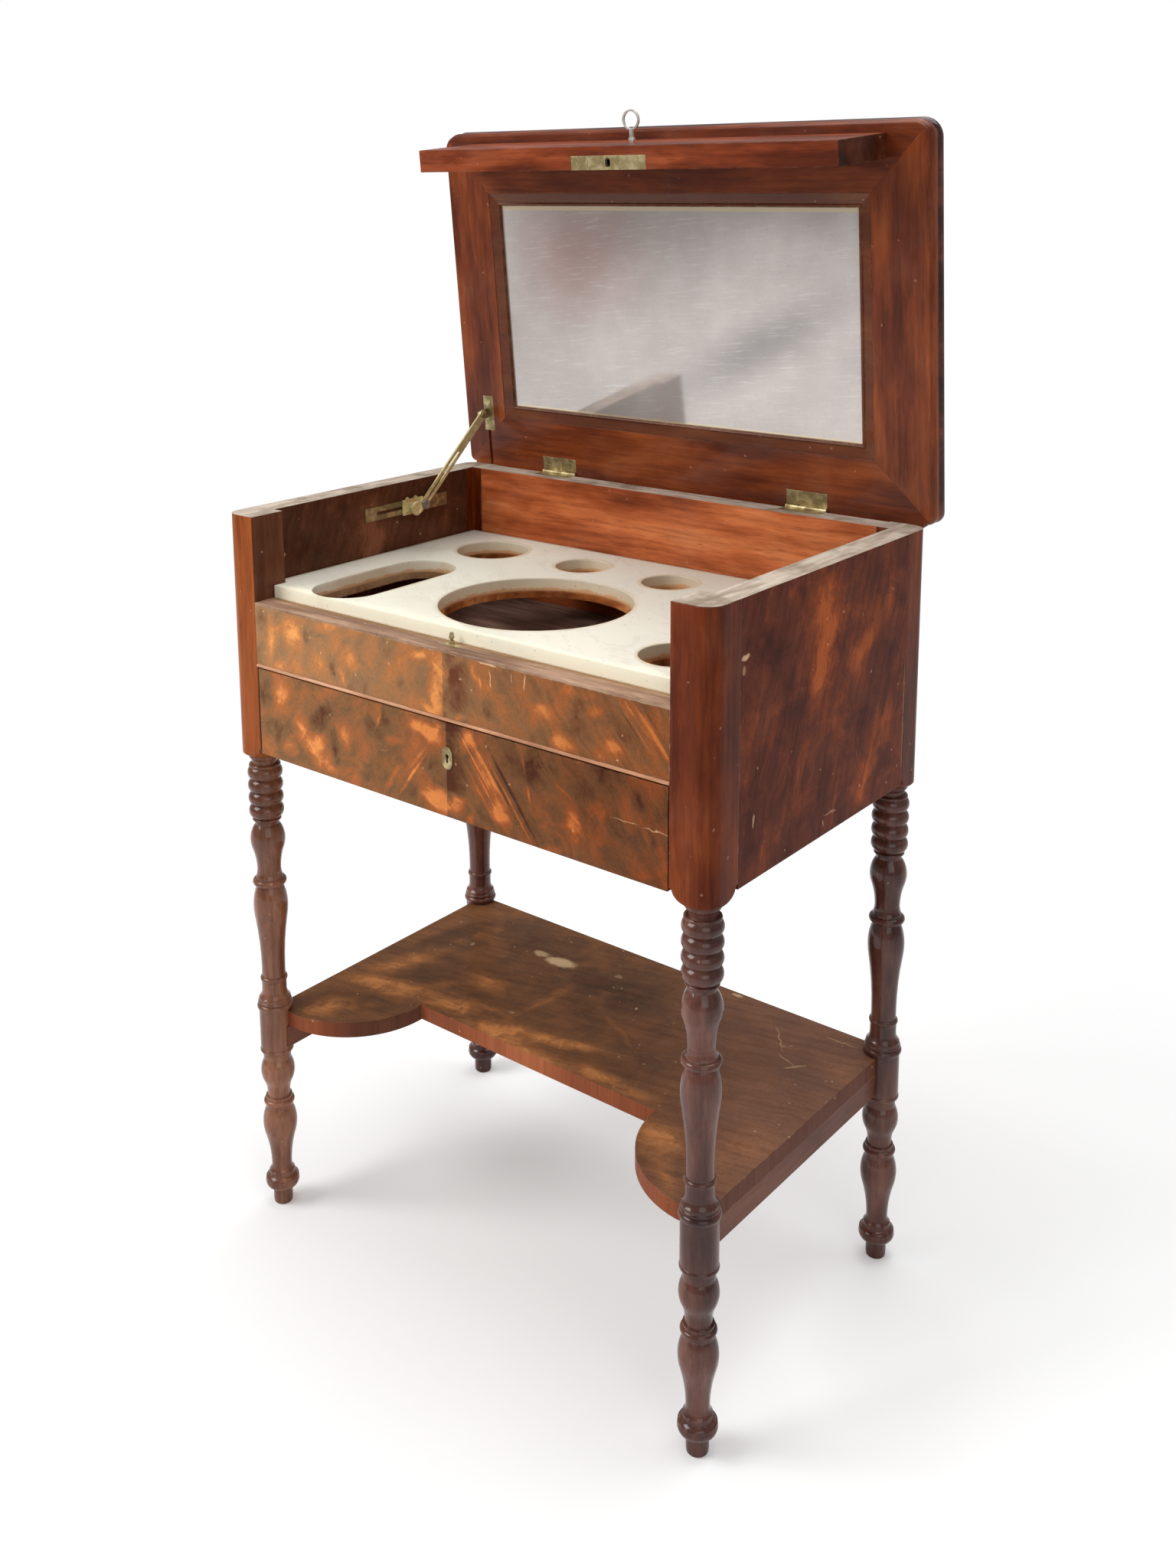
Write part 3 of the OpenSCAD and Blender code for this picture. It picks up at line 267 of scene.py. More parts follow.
# Figures and marks of the veneers. Each row gives u, v, half width and half height in millimetres, then the
# strength and the lean in degrees.
PANEL_FIGURE = patches(
    (-215, 723, 22, 20, 0.62), (-248, 711, 12, 24, 0.4, 17), (-161, 739, 23, 7, 0.45, -18),
    (-233, 682, 14, 8, 0.36), (-173, 695, 15, 14, 0.38, -18), (-196, 723, 8, 14, -0.3, -33),
    (-199, 694, 15, 8, -0.12), (-152, 689, 7, 12, -0.34, -18), (-140, 687, 3.9, 11, 0.3, -18),
    (-126, 710, 8, 14, 0.42, -24), (-109, 706, 6, 10, -0.16, -12), (-54, 696, 11, 14, -0.2, -27),
    (-26, 736, 18, 7, 0.62, -27), (-4, 730, 10, 18, 0.7), (-4, 697, 10, 25, 0.66),
    (-14, 677, 13, 8, 0.56, 34), (-267, 728, 11, 17, -0.26), (-268, 678, 11, 11, -0.22),
    (-81, 708, 28, 10, 0.06), (7, 725, 7, 27, 0.4), (29, 742, 21, 7, 0.34, -26), (49, 732, 5, 11, 0.44, -26),
    (54, 722, 1.8, 7, 0.44, -12), (20, 678, 16, 7, 0.55, -27), (11, 690, 8, 13, 0.24),
    (26, 727, 9, 11, -0.2, 25), (64, 696, 16, 11, -0.26, 24), (73, 705, 7, 5.3, -0.12),
    (130, 709, 15, 7, 0.5), (119, 696, 9, 9, 0.22), (155, 685, 13, 10, 0.62), (143, 670, 8, 7, 0.28),
    (162, 737, 12, 7, 0.28), (184, 736, 14, 6, 0.2), (174, 715, 12, 19, -0.26), (197, 723, 13, 8, 0.48),
    (214, 717, 12, 10, -0.2), (230, 732, 5, 18, 0.34, -44), (249, 722, 5, 31, 0.36, -44),
    (263, 712, 3.8, 31, 0.3, -39), (272, 698, 3.7, 23, 0.2, -36), (216, 692, 11, 7, 0.5, -12),
    (198, 680, 9, 10, 0.34, -26), (228, 704, 7, 12, -0.24, -31), (188, 698, 8, 10, -0.12),
    (238, 728, 1.4, 26, 0.44, -44), (256, 718, 1.4, 30, 0.44, -42), (244, 712, 1.3, 24, 0.38, -42),
    (268, 706, 1.2, 26, 0.38, -38), (234, 718, 1.0, 20, -0.34, -43), (261, 722, 1.0, 24, -0.34, -42))
DRAWER_FIGURE = patches(
    (-240, 647, 16, 17, 0.44), (-239, 633, 10, 7, -0.1), (-263, 624, 12, 32, -0.14),
    (-175, 665, 28, 8, 0.24, -15), (-182, 633, 25, 11, -0.4, -54), (-155, 608, 7, 20, -0.36, -6),
    (-206, 617, 16, 15, 0.52, 27), (-187, 603, 20, 11, 0.66, -43), (-174, 591, 15, 7, 0.4, -27),
    (-225, 590, 16, 11, 0.34, 27), (-240, 603, 16, 23, -0.22, 16), (-140, 624, 12, 16, 0.4, -12),
    (-156, 636, 10, 7, 0.2), (-130, 580, 17, 10, 0.42), (-164, 585, 15, 7, 0.3),
    (-79, 655, 11, 10, -0.22, 26), (-88, 652, 2.4, 12, 0.4, 26), (-65, 637, 14, 6, 0.34, -18),
    (-84, 632, 12, 5.3, -0.12), (-69, 592, 3.3, 26, 0.4, 39), (-41, 606, 2.3, 33, 0.62, 37),
    (-31, 627, 2.3, 21, 0.4, 42), (-33, 657, 16, 8, 0.5, -12), (-15, 653, 11, 10, 0.54, 34),
    (-4, 664, 7, 8, 0.5), (-16, 620, 18, 14, -0.26), (-8, 588, 20, 6, 0.62), (-55, 613, 9, 16, -0.16, 34),
    (-9, 653, 14, 13, 0.55), (31, 657, 21, 11, 0.66, -41), (52, 642, 9, 31, 0.3, -38),
    (65, 620, 9, 36, 0.34, -37), (80, 591, 11, 16, 0.66, -37), (53, 606, 2.8, 48, 0.3, -37),
    (92, 607, 1.3, 60, 0.5, -37), (94, 616, 2.2, 59, -0.5, -37), (-4, 591, 17, 11, 0.56, 33),
    (18, 591, 17, 13, 0.56, -49), (36, 578, 9, 7, 0.4, -49), (-11, 595, 1.5, 21, -0.2),
    (112, 656, 32, 21, -0.26), (108, 650, 2, 11, 0.5, -15), (114, 623, 2, 11, 0.4, -10),
    (98, 663, 5.7, 9, 0.14), (129, 636, 19, 35, -0.16), (157, 636, 13, 2.4, 0.44, 28),
    (166, 609, 12, 16, 0.6, 12), (190, 631, 14, 9, 0.46, 22), (169, 591, 6, 5.2, 0.3),
    (204, 660, 26, 19, -0.34), (232, 635, 7, 23, 0.3, -18), (220, 617, 12, 27, -0.1),
    (252, 617, 5, 23, 0.24, -26), (269, 607, 4.9, 20, 0.36, -23), (244, 646, 3.9, 10, -0.3, -18),
    (142, 574, 21, 5.3, 0.34, -12), (244, 581, 16, 7, 0.2), (44, 640, 1.3, 34, 0.44, -38),
    (58, 632, 1.0, 40, -0.44, -38), (67, 628, 1.3, 40, 0.4, -38), (76, 622, 1.0, 44, -0.4, -38),
    (40, 650, 1.0, 26, -0.36, -40), (60, 612, 1.2, 40, 0.4, -37), (250, 630, 24, 40, -0.16))
SIDE_FIGURE = patches(
    (-10, 770, 44, 76, 0.31, 5), (84, 760, 20, 70, 0.23, 26), (92, 640, 26, 60, 0.18, 34),
    (-7, 790, 34, 64, 0.54, 4), (-17, 737, 19, 27, 0.44, 13), (116, 782, 9, 44, 0.4, 16),
    (61, 740, 12, 30, 0.47, 62), (114, 649, 18, 45, 0.32, 36), (74, 602, 17, 32, 0.58, 31),
    (14, 678, 29, 30, 0.18, 18), (-41, 670, 32, 27, 0.15), (-106, 789, 51, 41, -0.13),
    (63, 664, 31, 28, -0.2, 39), (113, 717, 25, 42, -0.16, 4), (-145, 613, 25, 47, -0.13),
    (51, 786, 23, 40, 0.18, 9), (-69, 828, 22, 7, 0.23, -32), (-120, 716, 34, 58, 0.05),
    (-70, 725, 22, 28, -0.11), (31, 708, 9, 20, 0.26, 46))
SIDE_MARKS = patches(
    (-148, 785, 8, 3.6, 0.9), (-151, 774, 3.2, 5.8, 0.4), (-132, 628, 1.6, 9, 0.7),
    (8, 591, 1.4, 15, 0.35, 95), (-6, 585, 1.4, 5.6, 0.5), (155, 649, 1.4, 82, 0.3),
    (-112, 602, 1.3, 0.7, 0.4))
SHELF_FIGURE = patches(
    (-229, -61, 21, 60, 0.76, 78), (-143, -44, 19, 41, 0.66, 76), (-254, -138, 23, 32, 0.59, 35),
    (-255, -9, 19, 46, 0.38, 26), (-50, -46, 17, 63, 0.64, 74), (23, -24, 11, 46, 0.46, 71),
    (-144, 19, 19, 34, 0.34, 84), (-63, 31, 9, 52, 0.27, 7), (46, 31, 5.2, 35, 0.24, -59),
    (-4, -66, 16, 69, 0.51, -87), (95, -54, 15, 67, 0.46, -89), (198, -105, 26, 42, 0.59, -63),
    (240, -150, 12, 36, 0.38, -53), (278, -57, 42, 37, 0.26, 82), (-174, 133, 46, 85, -0.16, -83),
    (-8, 104, 44, 90, -0.21, -85), (109, 5, 21, 29, -0.16, 83), (-258, 79, 19, 54, -0.19, 15),
    (254, 82, 26, 31, -0.16, -83), (283, 115, 23, 33, 0.15, -67), (-218, -110, 9, 27, 0.19, 40),
    (-182, -23, 9, 33, 0.17, 35), (-95, -22, 5.4, 38, 0.19, -86))
STAIN = patches(
    (-104, 111, 12, 26, 0.85, 83), (-137, 113, 8, 13, 0.6, 88), (-221, 78, 5.1, 3.7, 0.35, 85),
    (-27, 127, 5.2, 6, 0.3, 78), (33, 82, 2.3, 1.6, 0.8, 85), (108, 180, 4.1, 9, 0.8, 86),
    (196, 130, 0.9, 32, 0.5, -39), (239, 92, 1.5, 16, 0.5, 40), (224, 97, 1.2, 18, 0.4, -69),
    (255, 166, 1.5, 25, 0.3, -89), (-74, -15, 2.2, 4.5, 0.4, 86))
PANEL_MARKS = patches(
    (67, 727, 0.9, 11, 0.6, -12), (94, 734, 0.7, 6, 0.5), (110, 734, 0.9, 10, 0.6, 8),
    (64, 742, 14, 1.6, 0.7))
DRAWER_MARKS = patches(
    (227, 627, 0.5, 18, 0.7, 88), (261, 626, 0.5, 17, 0.7, 90), (-82, 621, 0.5, 10, 0.3, 86))

# Tones of the pieces that have several.
POST_TONES = tones((62, 22, 6), (94, 36, 10), (112, 47, 15), (138, 66, 24))
# Lighter copy of the post tones for the front-left post: painted light, for the light that falls on it from the
# left.
POST_LEFT_LIT = tones((126, 60, 16), (150, 74, 22), (166, 86, 28), (186, 106, 40))
LEG_TONES = tones((48, 24, 20), (76, 42, 35), (100, 60, 49), (126, 82, 68))
# Lighter copy of the leg tones for the front-left leg: painted light, for the light that falls on it from the left.
LEG_LEFT_LIT = tones((78, 42, 28), (114, 70, 50), (146, 96, 70), (174, 124, 96))
INNER_TONES = tones((66, 38, 24), (86, 50, 33), (106, 64, 43), (130, 80, 56))
SIDE_TONES = tones((68, 28, 18), (98, 46, 30), (140, 67, 32), (172, 86, 38))
LID_TONES = tones((78, 32, 14), (104, 46, 22), (126, 60, 28), (148, 76, 36))

# Finishes.
LEG_WOOD = WoodFinish(
    "turned_wood", LEG_TONES, Grain.Z, contrast=0.8, rough=0.2, coat=0.6, gloss=0.1, worn=tint(172, 136, 118),
    pale_top=CASE_TOP, upper=POST_TONES)
# The front-left leg's wood: the turned wood with lighter tones, which paint in the light on that leg.
LEG_LEFT_LIT_WOOD = replace(
    LEG_WOOD, name="turned_wood_left_painted_light", tones=LEG_LEFT_LIT, contrast=0.55, worn=tint(190, 150, 124), wear=0.3,
    upper=POST_LEFT_LIT, inner=INNER_TONES, shift=0.21)
RAIL_WOOD = WoodFinish(
    "rail_wood", tones((80, 44, 32), (110, 66, 50), (134, 86, 68)), Grain.Y, contrast=0.6, fibre=0.3,
    coat=0.05, wear=0.4, shift=0.4)
SIDE_WOOD = WoodFinish(
    "side_veneer", SIDE_TONES, Grain.Z, Face.SIDE, slant=18.0, patches=SIDE_FIGURE, level=0.37,
    marks=SIDE_MARKS, gloss=0.04, worn=tint(208, 170, 132), wear=0.4, pale_top=CASE_TOP, inner=INNER_TONES)
FRONT_WOOD = WoodFinish(
    "front_veneer", tones((112, 68, 44), (148, 116, 84), (188, 126, 76), (234, 164, 98)), Grain.Z, Face.FRONT,
    mirrored=True, seam=4.0, slant=-38.0, patches=PANEL_FIGURE, contrast=1.1, level=0.47, fibre=0.25,
    gloss=0.05, marks=PANEL_MARKS, rough=0.36, worn=tint(236, 196, 150), wear=0.7, fade=True)
DRAWER_WOOD = replace(
    FRONT_WOOD, name="drawer_veneer",
    tones=tones((84, 46, 27), (124, 92, 62), (172, 104, 58), (226, 148, 84)), seam=7.0, patches=DRAWER_FIGURE,
    level=0.46, marks=DRAWER_MARKS, worn=tint(214, 164, 120), shift=0.11, wear=0.5)
BACK_WOOD = WoodFinish(
    "back_wood", tones((120, 54, 26), (164, 82, 42), (194, 106, 60), (214, 130, 80)), rough=0.42, coat=0.02,
    contrast=0.75, fibre=0.55, wear=0.3, pale_top=CASE_TOP)
LEDGE_WOOD = WoodFinish(
    "ledge_wood", tones((108, 80, 64), (152, 118, 96), (196, 162, 136)), rough=0.5, coat=0.02,
    worn=tint(222, 184, 144), wear=0.9)
# The bead moulding's pale tones paint in the highlight along its rounded face: a painted highlight.
BEAD_PAINTED_HIGHLIGHT = WoodFinish(
    "bead_wood_painted_highlight", tones((166, 112, 82), (200, 146, 110), (222, 172, 136)), rough=0.4, coat=0.04,
    worn=tint(206, 164, 140), wear=0.8)
LID_STILE = WoodFinish(
    "lid_stile_wood", LID_TONES, Grain.Y, coat=0.2, contrast=0.8, wear=0.4, in_lid=True,
    worn=tint(172, 120, 100))
LID_RAIL = replace(LID_STILE, name="lid_rail_wood", grain=Grain.X, shift=0.3)
LID_BOARD = WoodFinish(
    "lid_board_wood", tones((48, 21, 15), (76, 36, 26), (104, 56, 42)), rough=0.24, coat=0.6, wear=0.35,
    in_lid=True, shift=0.6)
APRON_WOOD = WoodFinish(
    "front_board_wood", tones((88, 35, 14), (128, 56, 26), (162, 82, 46)), wear=0.6, in_lid=True, shift=0.9,
    inner=tones((50, 20, 10), (72, 32, 18), (96, 46, 28)))
MOULD_WOOD = WoodFinish(
    "moulding_wood", tones((74, 34, 14), (100, 50, 24), (128, 72, 38)), rough=0.26, contrast=0.5, fibre=0.25,
    coat=0.3, wear=0.6, in_lid=True)
SHELF_WOOD = WoodFinish(
    "shelf_veneer", tones((64, 44, 30), (100, 68, 46), (156, 102, 60), (204, 136, 78)), Grain.X, Face.TOP,
    slant=76.0, patches=SHELF_FIGURE, marks=STAIN, contrast=0.42, level=0.45, fibre=0.35, gloss=0.08,
    rough=0.42, worn=tint(206, 176, 136), rim=tones((106, 52, 30), (142, 76, 46), (170, 98, 62)))
PLAIN_WOOD = WoodFinish(
    "plain_wood", tones((120, 86, 58), (160, 122, 86), (190, 154, 116)), rough=0.7, contrast=0.45, fibre=0.35,
    coat=0.0, wear=0.3)
# The dust board's tones are set far lighter than its bare wood, to paint in the light that falls on it through the
# basin hole: painted light.
DUST_BOARD_PAINTED_LIGHT = WoodFinish(
    "dust_board_wood_painted_light", tones((112, 84, 72), (144, 112, 98), (172, 138, 122)), rough=0.65, coat=0.0,
    worn=(0.35, 0.27, 0.2), wear=0.3)
RIM_WOOD = WoodFinish(
    "rim_wood", tones((118, 62, 26), (164, 94, 46), (206, 142, 86)), rough=0.8, coat=0.0,
    worn=(0.7, 0.5, 0.3))
BRASS = MetalFinish("aged_brass", tint(194, 178, 134), tint(136, 119, 82))
BRASS_BRIGHT = MetalFinish(
    "rubbed_brass", tint(240, 228, 176), tint(206, 190, 132), rough=0.28, metallic=0.45)
PALE_STEEL = MetalFinish("pale_steel", tint(226, 222, 216), tint(176, 170, 162), rough=0.3, metallic=0.6)
STEEL = MetalFinish("grey_steel", (0.56, 0.54, 0.52), (0.3, 0.28, 0.27), rough=0.38)

# Stained surroundings of the marble's holes, in millimetres.
HOLES = patches(
    (0, -52, 110, 110), (-195, 99, 49, 49), (-61, 103, 37, 37), (61, 103, 37, 37), (222, -110, 43, 43),
    (-199, -76, 46, 100))


class Nodes:
    """A small builder for one node tree."""

    def __init__(self, tree: bpy.types.NodeTree) -> None:
        """Takes the tree to build in."""
        self.tree = tree

    def put(self, socket: Socket, value: Value) -> None:
        """Sets an input to a number, a vector, a colour or another node's output."""
        if isinstance(value, Socket):
            self.tree.links.new(value, socket)
        elif socket.type == "RGBA":
            socket.default_value = (*value, 1.0)
        else:
            socket.default_value = value

    def node(self, kind: str, inputs: dict[int | str, Value], out: int | str = 0, **settings) -> Socket:
        """Adds a node.

        Args:
            kind: Type of the node, without the word that all types begin with.
            inputs: Value of each input that is set, by the input's name or number.
            out: Name or number of the output that is wanted.
            settings: Settings of the node.

        Returns:
            The output socket.
        """
        n = self.tree.nodes.new("ShaderNode" + kind)
        for name, value in settings.items():
            setattr(n, name, value)
        for name, value in inputs.items():
            self.put(n.inputs[name], value)
        return n.outputs[out]

    def math(self, op: str, a: Value, b: Value = 0.0, c: Value = 0.0) -> Socket:
        """Returns the result of an operation on up to three numbers."""
        return self.node("Math", {0: a, 1: b, 2: c}, operation=op)

    def times(self, a: Value, b: Value, plus: Value | None = None) -> Socket:
        """Returns the product of two numbers, plus a third where it is given."""
        return self.math("MULTIPLY", a, b) if plus is None else self.math("MULTIPLY_ADD", a, b, plus)

    def vector(self, op: str, a: Value, b: Value = (0.0, 0.0, 0.0)) -> Socket:
        """Returns the result of an operation on one or two vectors."""
        out = "Value" if op in ("LENGTH", "DOT_PRODUCT") else "Vector"
        return self.node("VectorMath", {0: a, 1: b}, out, operation=op)

    def coords(self, in_lid: bool = False) -> Socket:
        """Returns object coordinates, turned into the closed lid's frame where asked."""
        out = self.node("TexCoord", {}, "Object")
        if not in_lid:
            return out
        return self.turn(self.vector("SUBTRACT", out, (0.0, HINGE_Y, HINGE_Z)), (math.radians(LID_OPEN), 0.0, 0.0))

    def turn(self, vector: Socket, angles: Point) -> Socket:
        """Returns the vector turned by three angles in radians."""
        return self.node("Mapping", {"Vector": vector, "Rotation": angles})

    def local(self, plane: Socket, place: Sequence[float], lean: float, size: Sequence[float]) -> Socket:
        """Returns a face's u and v about a place, leant by an angle in degrees and divided by a size."""
        moved = {"Vector": plane, "Location": (place[0], 0.0, place[1]), "Rotation": (0.0, math.radians(lean), 0.0),
                 "Scale": (size[0], 1.0, size[1])}
        return self.node("Mapping", moved, vector_type="TEXTURE")

    def parts(self, vector: Socket) -> Sequence[Socket]:
        """Returns the X, Y and Z of a vector."""
        n = self.tree.nodes.new("ShaderNodeSeparateXYZ")
        self.put(n.inputs[0], vector)
        return n.outputs

    def join(self, x: Value, y: Value, z: Value) -> Socket:
        """Returns a vector made of three numbers."""
        return self.node("CombineXYZ", {0: x, 1: y, 2: z})

    def normal(self) -> Sequence[Socket]:
        """Returns the X, Y and Z of the surface normal in the object's own frame."""
        return self.parts(self.node("TexCoord", {}, "Normal"))

    def noise(self, vector: Socket, n: Noise, out: str = "Fac") -> Socket:
        """Returns a noise value of about 0 to 1, or the noise's colour."""
        inputs = {"Vector": vector, "Scale": n.scale, "Detail": n.detail, "Roughness": n.rough, "Distortion": n.warp}
        return self.node("TexNoise", inputs, out)

    def warped(self, vector: Socket, scale: float, amount: float) -> Socket:
        """Returns the vector pushed about by up to about half an amount, in metres."""
        push = self.vector("SUBTRACT", self.noise(vector, Noise(scale, 3.0, 0.5), "Color"), (0.5, 0.5, 0.5))
        return self.vector("ADD", vector, self.vector("MULTIPLY", push, (amount, amount, amount)))

    def spots(self, vector: Socket, scale: float, size: float) -> Socket:
        """Returns a value that is 1 in scattered spots and 0 elsewhere."""
        return self.span(self.node("TexVoronoi", {"Vector": vector, "Scale": scale}, "Distance"), size, size * 0.4)

    def span(self, value: Socket, low: float, high: float) -> Socket:
        """Returns the value carried from low..high to 0..1, kept in that range and smoothed."""
        inputs = {"Value": value, "From Min": low, "From Max": high}
        return self.node("MapRange", inputs, interpolation_type="SMOOTHSTEP")

    def mix(self, amount: Value, a: Value, b: Value, blend: str = "MIX") -> Socket:
        """Returns colour a blended with colour b by amount."""
        return self.node("Mix", {0: amount, 6: a, 7: b}, 2, data_type="RGBA", blend_type=blend, clamp_factor=True)

    def stained(self, colour: Value, *stains: tuple[Socket, Value, RGB], blend: str = "MIX") -> Socket:
        """Lays stains on a colour, one over the other.

        Args:
            colour: The colour below.
            stains: Mask, share and tone of each stain.
            blend: How a tone is blended with what is below it.

        Returns:
            The stained colour.
        """
        for mask, share, tone in stains:
            colour = self.mix(self.times(mask, share), colour, tone, blend)
        return colour

    def ramp(self, value: Socket, colours: Sequence[RGB]) -> Socket:
        """Returns the colour that a value from 0 to 1 has on evenly set colours."""
        n = self.tree.nodes.new("ShaderNodeValToRGB")
        self.put(n.inputs[0], value)
        stops = n.color_ramp.elements
        while len(stops) < len(colours):
            stops.new(0.5)
        for i, colour in enumerate(colours):
            stops[i].position = 0.12 + 0.80 * i / (len(colours) - 1)
            stops[i].color = (*colour, 1.0)
        return n.outputs[0]

    def patch(self, plane: Socket, p: Patch, soft: float, reach: float = 1.0) -> Socket:
        """Returns a value that is 1 within a patch and falls to 0 at its rim, or at a reach beyond it."""
        near = self.local(plane, (p.u * MM, p.v * MM), p.lean, (p.ru * MM, p.rv * MM))
        return self.span(self.vector("LENGTH", near), reach, soft)

    def edges(self, radius: float) -> tuple[Socket, Socket]:
        """Rounds sharp edges.

        Args:
            radius: Width of the rounding, in metres.

        Returns:
            The rounded normal, and a value that is 1 on the edges.
        """
        rounded = self.node("Bevel", {"Radius": radius}, samples=4)
        same = self.vector("DOT_PRODUCT", rounded, self.node("NewGeometry", {}, "Normal"))
        return rounded, self.span(same, 0.995, 0.80)


class Graph(Nodes):
    """The nodes of one material."""

    def __init__(self, name: str) -> None:
        """Makes an empty material of this name."""
        self.material = bpy.data.materials.new(name)
        self.material.use_nodes = True
        super().__init__(self.material.node_tree)
        self.tree.nodes.clear()
        self.out = self.tree.nodes.new("ShaderNodeOutputMaterial")
        self.shader = self.tree.nodes.new("ShaderNodeBsdfPrincipled")
        self.put(self.out.inputs["Surface"], self.shader.outputs[0])

    def set(self, socket: str, value: Value) -> None:
        """Sets one of the shader's own inputs."""
        self.put(self.shader.inputs[socket], value)

    def bump(self, height: Socket, depth: float, normal: Socket) -> None:
        """Gives the shader a bumpy normal, from a height of 0 to 1 and a depth in metres."""
        self.set("Normal", self.node("Bump", {"Distance": depth, "Height": height, "Normal": normal}))


class Timber:
    """Makes the material of one wood finish."""

    def __init__(self, finish: WoodFinish) -> None:
        """Lays the coordinates that the whole material shares."""
        self.f = finish
        self.g = Graph(finish.name)
        self.where = self.g.coords(finish.in_lid)
        self.x, self.y, self.z = self.g.parts(self.where)
        shift = finish.shift
        self.here = self.g.vector("ADD", self.where, (shift, shift * 0.7, shift * 1.3))
        self.plane = self._plane()

    def make(self) -> bpy.types.Material:
        """Makes the material.

        Returns:
            The material.
        """
        g, f = self.g, self.f
        figure, fibres = self._plain() if self.plane is None else self._veneer()
        lines, pores = g.noise(fibres, LINES), g.noise(fibres, PORES)
        polish = g.noise(self.here, POLISH)
        normal, edge = g.edges(EDGE if f.upper is None else LEG_EDGE)
        colour = self._worn(self._fibred(self._toned(figure), lines, pores), polish, edge)
        roughness = g.math("ADD", f.rough, g.times(g.span(polish, 0.35, 0.75), 0.14))
        if f.pale_top is not None:
            up = g.span(g.normal()[2], 0.5, 0.9)
            bare = g.times(up, g.span(self.z, f.pale_top - 0.002, f.pale_top))
            colour = g.mix(bare, colour, self._bare())
            roughness = g.math("ADD", roughness, g.times(bare, 0.3))
        coat = f.coat
        if f.upper is not None:
            turned = g.span(self.z, SQUARE_FROM, TURNED_TO)
            coat = g.times(turned, f.coat - POST_COAT, POST_COAT)
        g.set("Base Color", colour)
        g.set("Roughness", roughness)
        g.set("Coat Weight", coat)
        g.set("Coat Roughness", 0.07)
        g.set("Specular IOR Level", f.gloss)
        g.bump(g.math("ADD", g.times(pores, 0.4), lines), WOOD_RELIEF, normal)
        return g.material

    def _plane(self) -> Socket | None:
        """Returns the face's u and v as the X and Z of a vector, or None for plain wood."""
        sides = {Face.FRONT: (self.x, self.z), Face.SIDE: (self.y, self.z), Face.TOP: (self.x, self.y)}
        if self.f.face is None:
            return None
        u, v = sides[self.f.face]
        return self.g.join(u, 0.0, v)

    def _plain(self) -> tuple[Socket, Socket]:
        """Returns the figure of plain wood, from about 0 to 1, and the coordinates of its fibres."""
        g, grain, contrast = self.g, self.f.grain.value, self.f.contrast
        fibres = g.vector("MULTIPLY", g.warped(self.here, 7.0, 0.012), grain)
        soft = g.vector("MULTIPLY", g.warped(self.here, 5.0, 0.03), tuple(1.0 + (v - 1.0) * 0.16 for v in grain))
        wide = g.span(g.noise(soft, WIDE), 0.24, 0.76)
        return g.math("ADD", 0.5 - 0.5 * contrast, g.times(wide, contrast)), fibres

    def _veneer(self) -> tuple[Socket, Socket]:
        """Returns the figure of a veneer, from about 0 to 1, and the coordinates of its fibres."""
        g, f = self.g, self.f
        flat = g.warped(g.warped(self.plane, 12.0, 0.022), 48.0, 0.010)
        straight = g.warped(self.plane, 40.0, 0.003)
        leaning = flat
        if f.mirrored:
            leaning = g.vector("ABSOLUTE", g.vector("SUBTRACT", flat, (f.seam * MM, 0.0, 0.0)))
        fibres = g.local(leaning, (0.0, f.shift), f.slant, (1 / 16, 1.0))
        streak = g.noise(g.local(leaning, (0.0, f.shift), f.slant, (1 / 5, 1.0)), STREAK)
        cloud = g.noise(g.vector("ADD", leaning, (f.shift, 0.3, 0.0)), CLOUD)
        total = g.times(streak, 0.4 * f.contrast, f.level - 0.7 * f.contrast)
        total = g.times(cloud, f.contrast, total)
        feather = g.times(g.span(g.noise(flat, FEATHER), 0.36, 0.60), 0.62, 0.14)
        glow = g.times(g.noise(fibres, GLOW), 0.7, feather)
        for p in f.patches:
            lit = g.patch(straight if min(p.ru, p.rv) < STREAK_HALF else flat, p, -0.25, 1.4)
            total = g.times(g.times(lit, glow), p.strength, total)
        if f.mirrored:
            beside = g.math("SUBTRACT", self.x, f.seam * MM)
            step = g.times(g.span(beside, -0.0004, 0.0004), g.span(beside, SEAM_REACH, 0.0))
            total = g.times(step, SEAM_STEP, total)
        return total, fibres

    def _toned(self, figure: Socket) -> Socket:
        """Returns the wood's colour, with its other tones where a piece has them."""
        g, f = self.g, self.f
        colour = g.ramp(figure, f.tones)
        square = g.span(self.z, TURNED_TO, SQUARE_FROM)
        if f.upper is not None:
            colour = g.mix(square, colour, g.ramp(figure, f.upper))
        if f.inner is not None:
            facing = g.span(g.math("ABSOLUTE", g.normal()[0]), 0.5, 0.9)
            inside = g.times(g.span(g.math("ABSOLUTE", self.x), WALL_OUT, WALL_IN), facing)
            if f.upper is not None:
                inside = g.times(inside, square)
            colour = g.mix(inside, colour, g.ramp(figure, f.inner))
        if f.rim is not None:
            # paler and greyer towards the right and back, and a darker edge on the faces that face right
            paler_right_back = g.span(g.times(self.y, 0.5, self.x), 0.04, 0.28)
            colour = g.stained(colour, (paler_right_back, 0.5, tint(136, 100, 86)))
            facing = g.normal()
            edge = g.stained(g.ramp(figure, f.rim), (g.span(facing[0], 0.3, 0.8), 0.8, tint(88, 54, 42)))
            colour = g.mix(g.span(g.math("ABSOLUTE", facing[2]), 0.6, 0.3), colour, edge)
        return colour

